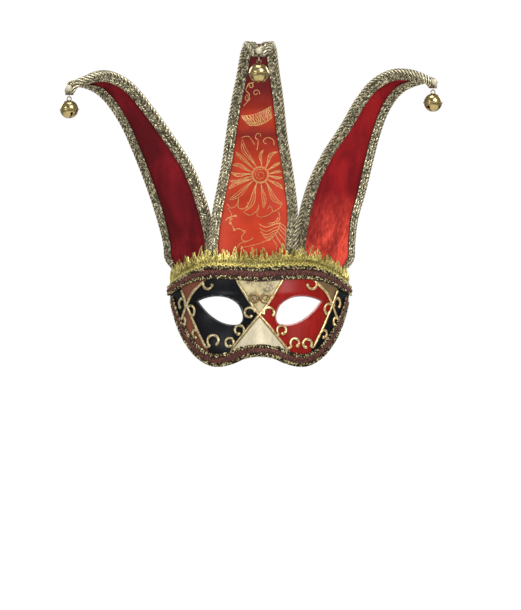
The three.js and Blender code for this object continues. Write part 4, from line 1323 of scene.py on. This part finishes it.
knit = {"Metallic": 0.6, "Roughness": 0.4}
lace = {"Metallic": 0.65, "Roughness": 0.36}
couched = {"Metallic": 0.4, "Roughness": 0.4}
waxed = {"Roughness": 0.55, "Sheen Weight": 0.3}
knit_yarn = make_yarn("metallic_knit_yarn", "#322c16", "#efe4c0", 0.9, knit)
lace_cord = make_yarn("gold_lace_cord", "#5c4f1c", "#f4e488", 1.4, lace)
figure_thread = make_yarn("gold_figure_thread", "#a8683a", "#e8bc7c", 0.7, couched)
waxed_thread = make_yarn("waxed_linen_thread", "#8f8360", "#e0d6b4", 0.4, waxed)
print("four yarns are ready")

# %% [markdown]
# ## Gold figures of the brocade
# The figures are a common stylised flower with curved petals, a fern, a vine and a few curls.
# They are drawn as lines in the picture's plane and laid on the cloth as flat couched thread. Texture
# nodes could not follow the drawing this closely, and raised thread also catches the light.

# %% Drawing of the figures
FLOWER = (0.7, 125.0)
RING = 7.4  # radius of the flower's eye
CORD_STEP = 0.9  # from one cord of the eye to the next, and the radius of a dot
# Petal tips as x and z, with the bow of the petal to one side
PETALS = [
    (3.6, 147.3, 0.12), (15.8, 145.4, 0.15), (18.3, 136.2, 0.0), (19.6, 127.6, 0.05),
    (20.1, 122.6, -0.05), (20.8, 112.2, 0.05), (20.8, 98.6, -0.1), (3.6, 95.3, 0.05),
    (-12.7, 92.7, 0.08), (-26.7, 102.7, 0.05), (-26.9, 112.2, -0.08), (-26.6, 120.2, 0.1),
    (-25.4, 127.2, 0.08), (-24.4, 133.6, -0.08), (-21.5, 145.5, 0.0), (-15.2, 156.6, 0.08),
]
# Tendrils that hook over the petals and join their ends, then the vine with its sprigs
TENDRILS = [
    [(-2.3, 147), (-1.2, 155.1), (-3.6, 158), (-2.3, 161.5), (0.6, 161.4), (1, 159.1)],
    [(12.8, 151.4), (12.1, 155.8), (7.6, 158), (3.9, 156.2), (3.9, 153.6), (6.2, 152.5)],
    [(-16, 157.7), (-13, 159.1), (-9.3, 158.8), (-6.4, 155.1), (-4.2, 151.8)],
    [(-13.8, 92), (-8.6, 89), (-2.7, 92.3), (-0.1, 98.3)],
    [(-0.5, 95.3), (-2, 89.4), (1.7, 87.2), (7.6, 89), (11.5, 92.5), (9.5, 97.1), (7.4, 94.6)],
    [(19.6, 98.3), (17.2, 94.9), (12.1, 92)],
    [(-18.2, 102.7), (-18.6, 96.4), (-14.9, 94.4), (-10.8, 97.1), (-10.1, 100.5)],
    [(-28.5, 99), (-24.8, 95.3), (-20, 98.3), (-18.2, 104.2)],
    [(-27.8, 95.3), (-24.5, 89.4), (-25.9, 84.2), (-23.4, 79.1), (-21.9, 76.1)],
    [(-30, 84.2), (-26.4, 87.2), (-20.4, 88.7)],
    [(-21.9, 76.1), (-17.5, 76.9), (-13, 73.9), (-15.2, 70.2), (-14.5, 66.5), (-10.1, 65.8), (-4.9, 68.7)],
    [(-19.7, 59.1), (-16.7, 63.6), (-11.6, 65)],
    [(7.6, 81.3), (12.1, 80.9), (15.8, 82.8), (18.1, 86.4), (16.9, 92.3)],
    [(9.4, 82.2), (12.6, 82.4), (15, 84.2), (16.6, 87)],
    [(-14, 186), (-10.5, 190), (-9, 196), (-12, 200), (-9, 205), (-5, 206.5)],
]
# Curls as middle x and z, radius, angle of the outer end in degrees and turns
CURLS = [
    (-7.6, 203.5, 3.0, 200, -1.2), (-3.0, 197.4, 3.2, -20, 1.1), (-10.0, 192.6, 3.0, 90, 1.2),
    (4.0, 209.0, 2.6, 30, 1.1), (0.7, 125.0, 5.2, 60, 1.6),
]
# The fern's quill, and its barbs as a share of the quill, tip x and z, and bow to one side
QUILL = [(-15.2, 59.9), (-7.9, 61.4), (0.3, 63.6), (11.3, 68.7), (16.5, 76.1), (18.3, 82.8)]
BARBS = [
    (0.95, -0.1, 81.3, 0.14), (0.88, 0.5, 77.4, 0.16), (0.81, 1.4, 74.2, 0.18),
    (0.74, 2.9, 71.4, 0.2), (0.67, 4.6, 69.2, 0.22), (0.6, 6.6, 66.6, 0.2),
    (0.98, 23.6, 75.6, 0.12), (0.92, 23.4, 70.6, 0.12), (0.85, 23.2, 66, 0.12),
    (0.78, 22.6, 61, 0.12), (0.7, 19.4, 57, 0.1), (0.62, 15.4, 58.4, 0.1),
]
# Crescent of the upper band: its two borders, with bars between them
CRESCENT_TOP = [(-15.9, 177.1), (-4, 179), (4, 182.2), (10.2, 185.4)]
CRESCENT_FOOT = [(-8.9, 169.4), (-2, 169.4), (5, 172), (10.9, 175.8)]
DOTS = [(-24.8, 85.7), (-21.9, 76.1), (-12.7, 74.3), (-20.8, 88.3), (-25.6, 82.0)]


print(len(PETALS), "petals and", len(TENDRILS), "tendrils")

# %% Figure lines
PETAL_STEPS = 16  # points from the foot of a petal to its tip
PETAL_HALF = 0.075  # half width of a petal, as a share of its length
QUILL_STEPS = 80
BAR_STEPS = 30


def petal(foot, tip, bow, half):
    """Outline of a petal from its foot to its tip and back, bowed in a slack S."""
    foot = np.array(foot, float)
    axis = np.array(tip, float) - foot
    side = np.array((-axis[1], axis[0]))
    t = np.linspace(0, 1, PETAL_STEPS)
    t = np.concatenate([t, np.linspace(1, 0, PETAL_STEPS)[1:]])
    way = np.where(np.arange(len(t)) < PETAL_STEPS, 1, -1)
    across = bow * (np.sin(math.pi * t) - 0.4 * np.sin(2 * math.pi * t))
    across = across + way * half * np.sin(math.pi * t**1.5)
    return foot + axis * t[:, None] + side * across[:, None]


def spiral(x, z, radius, start, turns):
    t = np.linspace(0, 1, 26)
    angle = math.radians(start) + turns * t * 2 * math.pi
    return round_middle(x, z, radius * (1 - 0.75 * t), angle)


def circle(x, z, radius):
    return round_middle(x, z, radius, np.linspace(0, 2 * math.pi, 12 + int(4 * radius)))


figure_lines = [spline(tendril, 12 * len(tendril)) for tendril in TENDRILS]
figure_lines += [spiral(*curl) for curl in CURLS]
for tip_x, tip_z, bow in PETALS:
    reach = np.array((tip_x - FLOWER[0], tip_z - FLOWER[1]))
    foot = np.array(FLOWER) + reach / np.linalg.norm(reach) * RING
    figure_lines.append(petal(foot, (tip_x, tip_z), bow, PETAL_HALF))
    figure_lines.append(petal(foot, (tip_x, tip_z), bow, 0)[2 : PETAL_STEPS - 2])
quill = spline(QUILL, QUILL_STEPS)
figure_lines.append(quill)
for share, tip_x, tip_z, bow in BARBS:
    root = quill[int(share * (QUILL_STEPS - 1))]
    figure_lines.append(petal(root, (tip_x, tip_z), bow, 0)[:PETAL_STEPS])
figure_lines += [circle(*FLOWER, RING), circle(*FLOWER, RING - CORD_STEP)]
figure_lines += [circle(x, z, CORD_STEP) for x, z in DOTS]
low = spline(CRESCENT_FOOT, BAR_STEPS)
high = spline(CRESCENT_TOP, BAR_STEPS)
share = np.linspace(0, 1, 9)[:, None]
figure_lines += [low, high]
# Upright bars, then slanted ones
for slant in (0, 5):
    for i in range(0, BAR_STEPS - slant, 2):
        figure_lines.append(low[i + slant] + (high[i] - low[i + slant]) * share)
print(len(figure_lines), "lines in the figures")

# %% Thread of the figures
FIGURE_HALF = 0.32
FIGURE_TALL = 0.24
RISES_TO = 0.78  # as far along as the horn still rises
strip = STRIPS["center"]
ladder = np.linspace(0, RISES_TO, 400)
rungs = strip.at(ladder, 0.0)
rung_left = strip.at(ladder, -1.0)[0][:, 0]
rung_right = strip.at(ladder, 1.0)[0][:, 0]


def figure_cord(line, tone):
    along = np.interp(line[:, 1], rungs[0][:, 2], ladder)
    left = np.interp(along, ladder, rung_left)
    right = np.interp(along, ladder, rung_right)
    across = np.clip((2 * line[:, 0] - left - right) / (right - left), -0.98, 0.98)
    lift = cloth_lift("center", along, across) + HORN_THICK / 2
    place, normal, _, _ = strip.at(along, across, lift)
    return sweep(place[None], normal[None], FIGURE_HALF, FIGURE_TALL, tone)


seeded = np.random.default_rng(5)
cords = [figure_cord(line, seeded.uniform(0.35, 0.9)) for line in figure_lines]
figures = mesh_piece("brocade_gold_figures", cords)
finish_piece(figures, "mask", "brocade", [], figure_thread)

# %% [markdown]
# ## Folded braid on the horns' edges
# Each edge is bound with a knitted metallic ribbon, folded over the cloth and sewn through. The eye
# sees rows of slanted stitches, pale metal over a dark core, and lighter strands that cross the fold.
# The ribbon's core is a U swept along the edge. The stitches are small spindles in a herringbone, all
# swept at once, on the front leg, the back leg and over the fold.

# %% Folded ribbon
BINDING_LEG = 8
LEG_GAP = 0.3  # from a leg to the middle of the horn, where the horn is narrow
BINDING_THICK = 1.0
BINDING_SLACK = 0.8
COVER = HORN_THICK / 2 + BINDING_SLACK  # from the middle of the cloth to the inside of the ribbon


def ribbon_at(strip, along, side, run):
    """Place and outward normal on the folded ribbon's middle; run is 0 at the front edge of the fold,
    1 at its back edge, below 0 on the front leg and above 1 on the back leg, as shares of a leg."""
    along, run = np.broadcast_arrays(along, run)
    width = strip.at(along, 0.0)[3]
    inset = np.clip(np.maximum(-run, run - 1), 0, 1) * BINDING_LEG
    inset = np.minimum(inset, width / 2 - LEG_GAP)
    across = side * (1 - 2 * inset / width)
    point, normal, sideways, _ = strip.at(along, across)
    turn = np.clip(run, 0, 1) * math.pi
    lift = COVER + BINDING_THICK / 2
    flat = (np.cos(turn) * lift)[..., None]
    out = (np.sin(turn) * (BINDING_FOLD - BINDING_THICK / 2))[..., None]
    place = point + normal * flat + sideways * side * out
    return place, unit(normal * np.cos(turn)[..., None] + sideways * side * np.sin(turn)[..., None])


print("the ribbon is", 2 * BINDING_LEG, "mm wide without its fold")

# %% Stitched bindings
STITCH_PITCH = 1.45
STITCH_COLUMNS = 5
STITCH_LEAN = 0.6
STITCH_SLANT = 0.45  # half width of a stitch, as a share of its column
STITCH_LIFT = 0.1
STITCH_ARCH = 0.32
STITCH_JITTER = 0.3
STITCH_HALF = 0.42
STITCH_TALL = 0.36
STITCH_TAPER = np.array([0.35, 1, 0.35])
# Tones of the stitches, and how often each comes
STITCH_TONES = [0.02, 0.25, 0.55, 1.0]
STITCH_ODDS = [0.28, 0.27, 0.25, 0.2]
STRAND_PITCH = 3.8
STRAND_LEAN = 5.5
STRAND_LIFT = 0.25
STRAND_DARK = 0.12
STRAND_FADED = 0.65  # brightness of the most faded strand
STRAND_HALF = 0.72
STRAND_TALL = 0.48
STRAND_TAPER = np.array([0.4, 0.9, 1, 1, 1, 0.9, 0.4])
SEWN_TO = 0.97  # stitches stop short of the horn's tip, clear of the bell's swing
STRAND_REACH = 0.14  # share of a leg that the strands over the fold cover
CORE_DEPTH = BINDING_THICK * 0.35  # how far the core reaches in from the ribbon's middle
CORE_LIFT = 0.2  # and out from it, as a share of that
CORE_TONE = 0.15
seeded = np.random.default_rng(7)


def make_binding(side, edge):
    strip = STRIPS[side]
    sign = -1 if edge == "l" else 1
    rows = int(edge_length(strip, sign) / STITCH_PITCH)
    along = even_along(strip, sign, rows)
    # Core ribbon, a little thinner than the whole so that the stitches stand on it
    runs = np.concatenate([np.linspace(-1, 0, 5), np.linspace(0, 1, 7)[1:-1], np.linspace(1, 2, 5)])
    place, out = ribbon_at(strip, along[:, None], sign, runs[None])
    top = place + out * CORE_DEPTH * CORE_LIFT
    parts = [closed_band(top, place - out * CORE_DEPTH, -sign, CORE_TONE)]
    # Slanted stitches in a herringbone on both legs
    spread = np.gradient(along)[:, None]
    columns = STRAND_REACH + (1 - STRAND_REACH) * (np.arange(STITCH_COLUMNS) + 0.5) / STITCH_COLUMNS
    t = np.linspace(-1, 1, 3)
    for leg in (-1, 1):
        for n, column in enumerate(columns):
            slant = t if n % 2 else -t
            run = column + STITCH_SLANT * slant / STITCH_COLUMNS
            run = -run if leg < 0 else 1 + run
            jitter = seeded.uniform(-STITCH_JITTER, STITCH_JITTER, (rows, 1))
            rows_at = np.clip(along[:, None] + spread * (STITCH_LEAN * t[None] + jitter), 0, SEWN_TO)
            path, normal = ribbon_at(strip, rows_at, sign, np.broadcast_to(run, rows_at.shape))
            path = path + normal * (STITCH_LIFT + STITCH_ARCH * (1 - t**2))[None, :, None]
            tones = seeded.choice(STITCH_TONES, rows, p=STITCH_ODDS)
            half = STITCH_HALF * STITCH_TAPER
            parts.append(sweep(path, normal, half, STITCH_TALL * STITCH_TAPER, tones, sides=4))
    # Thick strands wound over the fold on the slant, light and dark by turns
    strands = 2 * int(edge_length(strip, sign) / STRAND_PITCH)
    along = even_along(strip, sign, strands)
    spread = np.gradient(along)[:, None]
    t = np.linspace(0, 1, len(STRAND_TAPER))
    rows_at = np.clip(along[:, None] + spread * STRAND_LEAN * sign * (t[None] - 0.5), 0, SEWN_TO)
    run = -STRAND_REACH + (1 + 2 * STRAND_REACH) * t
    path, normal = ribbon_at(strip, rows_at, sign, np.broadcast_to(run, rows_at.shape))
    tones = np.where(np.arange(strands) % 2, 1.0, STRAND_DARK) * seeded.uniform(STRAND_FADED, 1, strands)
    path = path + normal * STRAND_LIFT
    half = STRAND_HALF * STRAND_TAPER
    parts.append(sweep(path, normal, half, STRAND_TALL * STRAND_TAPER, tones, sides=5))
    binding = mesh_piece("braid_binding_" + side + "_" + edge, parts)
    finish_piece(binding, "mask", "metallic_braid", ["binding_" + side + "_" + edge], knit_yarn)


for side in STRIPS:
    for edge in ("l", "r"):
        make_binding(side, edge)

# %% [markdown]
# ## Gold picot trim
# The trim over the horns' feet is a metallic lace: a wavy foot cord, a dense band of looped cords and
# a fan of pointed loops along its upper edge. It is made from swept cords on the face's own surface,
# carried up past the rim. A flat strip with a texture would lose the open points against the cloth.

# %% Cords of the trim
TRIM_LIFT = -1.0
LOOP_RADIUS = 0.42


def trim_place(run, rise, lift):
    """Place and normal on the trim: run in millimetres round the head, rise above the rim."""
    run, rise = np.broadcast_arrays(run, rise)
    angle = run / HALF_WIDTH
    z = height_on(TOP_EDGE, HALF_WIDTH * np.sin(angle)) + rise
    return on_face(angle, z, TRIM_LIFT + lift), face_normal(angle, z)


def trim_cord(run, rise, lift, radius, tone):
    place, normal = trim_place(run, rise, lift)
    return sweep(place, normal, radius, radius, tone, sides=6)


def picot(middle, foot, height, half, lean, tone, lift):
    """Pointed loops that rise from the band at the given places and come back down to it."""
    t = np.linspace(-1, 1, 17)[None]
    rise = foot + height[:, None] * np.cos(math.pi / 2 * t) ** 0.75
    bow = t * (0.3 + 0.7 * np.abs(t))
    run = middle[:, None] + half[:, None] * bow + lean[:, None] * (1 - np.abs(t))
    return trim_cord(run, rise, lift + 0 * rise, LOOP_RADIUS, tone)


print("helpers for the trim are ready")

# %% Picot trim
TRIM_REACH = 81.6
TRIM_BAND = 8.5
TRIM_STEPS = 700
PICOT_PITCH = 9
FOOT_RADIUS = 0.45
FOOT_PITCH = 6.4
FOOT_RISE = 1.7
FOOT_WAVE = 0.85
FOOT_LIFT = 0.65
BAND_ROWS = 8
BAND_RISE = 1.2
BAND_PITCH = 2.9
PITCH_STEP = 0.21  # each row's waves are this much longer, so that the rows cross
ROW_START = 2.4
WAVER = 0.35
WAVER_PITCH = 3.3
WEAVE_DEPTH = 0.3
BAND_TONES = [0.2, 0.55, 0.9]
NET_SPACING = 6  # steps along the trim for each row of the net
NET_FOOT = 0.6
NET_MARGIN = 0.4  # how far below the top of the band the net ends
NET_LIFTS = (-0.35, -0.6)
NET_TONE = 0.1
LOOP_WANDER = 0.3  # share of the pitch
LOOP_HEIGHTS = (0.55, 1.1)  # least and greatest share of the row's height
LOOP_WIDTHS = (0.7, 1.2)  # and of its width
LOOP_TONES = (0.1, 1.0)
LOOP_ROOTS = (0.5, 3.5)  # how deep in the band a loop starts
LOOP_BASE = 1.5  # added to the height of every loop
# Rows of loops, the tallest first: how many a picot, height, half width, lean and how far in front
LOOP_ROWS = [(1, 11, 3.2, 2.6, 0.1), (1, 8.5, 2.0, 2.6, 0.3), (2, 7, 1.7, 2.2, 0.2)]
LOOP_ROWS += [(3, 4, 1.3, 1.5, 0.45), (4, 2, 1, 1, 0.6)]
seeded = np.random.default_rng(23)

trim_half = float(angle_at(TRIM_REACH)) * HALF_WIDTH
run = np.linspace(-trim_half, trim_half, TRIM_STEPS)[None]
# Net ground behind the loops
ground = np.linspace(NET_FOOT, TRIM_BAND - NET_MARGIN, 5)[None]
front, rear = (trim_place(run[:, ::NET_SPACING].T, ground, lift)[0] for lift in NET_LIFTS)
parts = [closed_band(front, rear, -1, NET_TONE)]
# Dense band: rows of waved cords that cross their neighbours
for row in range(BAND_ROWS):
    wave = 2 * math.pi * run / (BAND_PITCH + PITCH_STEP * row) + row * ROW_START
    rise = BAND_RISE + row + (1 + WAVER * np.sin(run / WAVER_PITCH + row)) * np.sin(wave)
    tone = seeded.choice(BAND_TONES)
    parts.append(trim_cord(run, rise, WEAVE_DEPTH * np.cos(wave), LOOP_RADIUS, tone))
# Foot cord in slow waves, brighter and in front
wave = 2 * math.pi * run / FOOT_PITCH
parts.append(trim_cord(run, FOOT_RISE + FOOT_WAVE * np.sin(wave), FOOT_LIFT + 0 * run, FOOT_RADIUS, 1.0))
# Picots and the smaller loops between them
for each, height, half, lean, lift in LOOP_ROWS:
    count = each * round(2 * trim_half / PICOT_PITCH)
    middle = ((np.arange(count) + 0.5) / count * 2 - 1) * trim_half
    middle = middle + seeded.uniform(-LOOP_WANDER, LOOP_WANDER, count) * PICOT_PITCH / each
    height = height * seeded.uniform(*LOOP_HEIGHTS, count)
    half = half * seeded.uniform(*LOOP_WIDTHS, count)
    lean = seeded.uniform(-lean, lean, count)
    tones = seeded.uniform(*LOOP_TONES, count)
    foot = TRIM_BAND - seeded.uniform(*LOOP_ROOTS, (count, 1))
    parts.append(picot(middle, foot, height + LOOP_BASE, half, lean, tones, lift))
trim = mesh_piece("gold_lace_trim", parts)
finish_piece(trim, "mask", "gold_trim", ["crown_trim"], lace_cord)

# %% [markdown]
# ## Jingle bells
# A jingle bell is pressed from two brass cups whose rims are crimped together, with crossed slots in
# the lower cup and a wire loop on top. A ball with a Solidify wall is the start, the slots and their
# round ends are cut with Boolean, and the crimp and loop are rings. A pellet rattles inside.

# %% Polished brass
brass, shader = new_material("polished_brass", {"Metallic": 1.0})
place = add_node(brass, "TexCoord").outputs["Object"]
# Handling leaves faint smudges, about 3 mm across, on the polish.
smudge = add_node(brass, "TexNoise", {"Scale": 1 / (3 * MM), "Detail": 4, "Vector": place})
polish = add_node(
    brass, "MapRange", {"From Min": 0.35, "From Max": 0.7, "To Min": 0.18, "To Max": 0.32, "Value": smudge}
)
colour = add_node(brass, "Mix", {**MIX, FIRST: "#937d4c", SECOND: "#cdbd88", FACTOR: smudge})
fill(brass, shader, {"Base Color": colour, "Roughness": polish})
print(len(brass.node_tree.nodes), "nodes in the brass")

# %% Shape of a bell
BELL_RADIUS = {"left": 8, "center": 8.7, "right": 8}
SLOT_TURN = {"left": 0.4, "center": 0.78, "right": -0.65}
BELL_WALL = 0.7
BELL_SLOT = 1.3
BELL_SEAM = 0.7
BELL_LOOP = 1.8
LOOP_WIRE = 0.9
CRIMP_STANDS = 0.1  # how far the crimp's middle stands out from the ball
CRIMP_FLATTEN = 0.8


def bell_middle(side):
    """Centre of a bell's ball, read from the box of its solid."""
    low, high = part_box("bell_" + side)
    middle = (low + high) / 2
    middle.z = low.z + BELL_RADIUS[side] * MM
    return middle


def make_bell(side):
    radius = BELL_RADIUS[side]
    bpy.ops.mesh.primitive_uv_sphere_add(segments=56, ring_count=28, radius=radius * MM)
    bell = added("jingle_bell_" + side)
    apply_modifier(bell, "SOLIDIFY", {"thickness": BELL_WALL * MM, "offset": -1})
    slot_top = -0.5 * radius
    for turn in (SLOT_TURN[side], SLOT_TURN[side] + math.pi / 2):
        bpy.ops.mesh.primitive_cube_add(
            size=1,
            location=(0, 0, (slot_top - radius / 2) * MM),
            rotation=(0, 0, turn),
            scale=(1.8 * radius * MM, BELL_SLOT * MM, radius * MM),
        )
        cut(bell, added("slot"))
        bpy.ops.mesh.primitive_cylinder_add(
            vertices=20,
            radius=BELL_SLOT * MM,
            depth=3 * radius * MM,
            location=(0, 0, slot_top * MM),
            rotation=(math.pi / 2, 0, turn),
        )
        cut(bell, added("slot_ends"))
    bpy.ops.mesh.primitive_torus_add(
        major_radius=(radius + CRIMP_STANDS) * MM,
        minor_radius=BELL_SEAM * MM,
        major_segments=56,
        minor_segments=10,
    )
    crimp = added("crimp")
    crimp.scale.z = CRIMP_FLATTEN
    bpy.ops.mesh.primitive_torus_add(
        major_radius=BELL_LOOP * MM,
        minor_radius=LOOP_WIRE / 2 * MM,
        major_segments=32,
        minor_segments=10,
        location=(0, 0, (radius + BELL_LOOP - LOOP_WIRE / 2) * MM),
        rotation=(math.pi / 2, 0, 0),
    )
    loop = added("loop")
    select_only(bell)
    for ring in (crimp, loop):
        ring.select_set(True)
    bpy.ops.object.transform_apply()
    bpy.ops.object.join()
    bell.location = bell_middle(side)
    bpy.ops.object.transform_apply()
    smooth(bell, 35)
    finish_piece(bell, "bell_" + side, "brass", ["bell_" + side], brass)


print("a bell's wall is", BELL_WALL, "mm")

# %% Bells and pellets
PELLET_RADIUS = 2
PELLET_FLAT = 0.3


def make_pellet(side):
    """A cast pellet: a ball with a flat where its sprue was."""
    low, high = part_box("pellet_" + side)
    middle = (low + high) / 2
    bpy.ops.mesh.primitive_ico_sphere_add(subdivisions=3, radius=PELLET_RADIUS * MM, location=middle)
    pellet = added("rattle_pellet_" + side)
    bpy.ops.object.transform_apply()
    bpy.ops.object.mode_set(mode="EDIT")
    bpy.ops.mesh.select_all(action="SELECT")
    flat = (0, 0, high.z - PELLET_FLAT * MM)
    bpy.ops.mesh.bisect(plane_co=flat, plane_no=(0, 0, 1), clear_outer=True, use_fill=True)
    bpy.ops.object.mode_set(mode="OBJECT")
    tidy_mesh(pellet)
    finish_piece(pellet, "bell_" + side, "brass", ["pellet_" + side], brass)


for side in STRIPS:
    make_bell(side)
    make_pellet(side)

# %% [markdown]
# ## Threads and pearls
# A doubled waxed thread passes through each bell's loop and up into the horn's tip. Two plies wound
# round one path give its twist. A pearl bead is sewn on just above: a ball with a dimple at each end
# of its drilled hole, in a cream lacquer whose shine goes slightly pink and green at the edges.

# %% Thread stays
THREAD_HALF = 0.4
THREAD_TURN = 1.0
LEG_STEPS = 14
TURN_STEPS = 24
PLY_RADIUS = 0.21
PLY_OFFSET = 0.19
PLY_PITCH = 1.6  # length of one turn of the twist


def make_thread(side):
    low, high = (np.array(corner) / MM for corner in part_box("thread_" + side))
    middle = (low + high) / 2
    bend = low[2] + THREAD_HALF + THREAD_TURN  # height where the legs run into the turn
    angle = np.linspace(math.pi, 2 * math.pi, TURN_STEPS)
    leg = np.linspace(high[2], bend, LEG_STEPS, endpoint=False)
    apart = np.full(LEG_STEPS, THREAD_TURN)
    y = np.concatenate([-apart, THREAD_TURN * np.cos(angle), apart])
    z = np.concatenate([leg, bend + THREAD_TURN * np.sin(angle), leg[::-1]])
    path = np.stack([middle[0] + 0 * y, middle[1] + y, z], axis=-1)
    side_on = np.broadcast_to(np.array((1.0, 0, 0)), path.shape)
    off = unit(np.cross(side_on, np.gradient(path, axis=0)))
    parts = []
    for start in (0, math.pi):
        twist = (2 * math.pi * run_along(path) / PLY_PITCH + start)[:, None]
        ply = path + PLY_OFFSET * (np.cos(twist) * side_on + np.sin(twist) * off)
        parts.append(sweep(ply[None], side_on[None] + 0.01, PLY_RADIUS, PLY_RADIUS, 1.0))
    thread = mesh_piece("stay_thread_" + side, parts)
    finish_piece(thread, "mask", "thread", ["thread_" + side], waxed_thread)


for side in STRIPS:
    make_thread(side)

# %% Pearl lacquer
pearl, shader = new_material(
    "pearl_lacquer",
    {"Roughness": 0.22, "Coat Weight": 0.6, "Coat Roughness": 0.08, "Thin Film Thickness": 180},
)
place = add_node(pearl, "TexCoord").outputs["Object"]
cloud = add_node(pearl, "TexNoise", {"Scale": 1 / (2.5 * MM), "Detail": 3, "Vector": place})
body = add_node(pearl, "Mix", {**MIX, FIRST: "#b4a98c", SECOND: "#d2c8ae", FACTOR: cloud})
fill(pearl, shader, {"Base Color": body})
print(len(pearl.node_tree.nodes), "nodes in the pearl lacquer")

# %% Pearl beads
PEARL_RADIUS = 2.9
DIMPLE_DEPTH = 0.22  # as shares of the radius
DIMPLE_HALF = 0.18


def make_pearl(side):
    low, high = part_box("pearl_" + side)
    bpy.ops.mesh.primitive_uv_sphere_add(segments=32, ring_count=20, radius=PEARL_RADIUS * MM)
    bead = added("pearl_bead_" + side)
    # The drilled ends: the poles are drawn in to a dimple
    for vertex in bead.data.vertices:
        off_axis = math.hypot(vertex.co.x, vertex.co.y) / (PEARL_RADIUS * MM)
        vertex.co.z *= 1 - DIMPLE_DEPTH * swell(off_axis, DIMPLE_HALF)
    bead.rotation_euler = (0, math.pi / 2, 0)
    bead.location = (low + high) / 2
    bpy.ops.object.transform_apply()
    bpy.ops.object.shade_smooth()
    finish_piece(bead, "mask", "pearl", ["pearl_" + side], pearl)


for side in STRIPS:
    make_pearl(side)

# %% [markdown]
# ## Size
# The box of the dressed mask is printed in millimetres. A little braid and thread reach beyond the
# solids' box. The dressed mask has to stay in the solids' box but for a little braid and thread.

# %% Measure the dressed mask
low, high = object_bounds()
print("box of the dressed mask in mm", [round(v / MM, 1) for v in (*low, *high)])
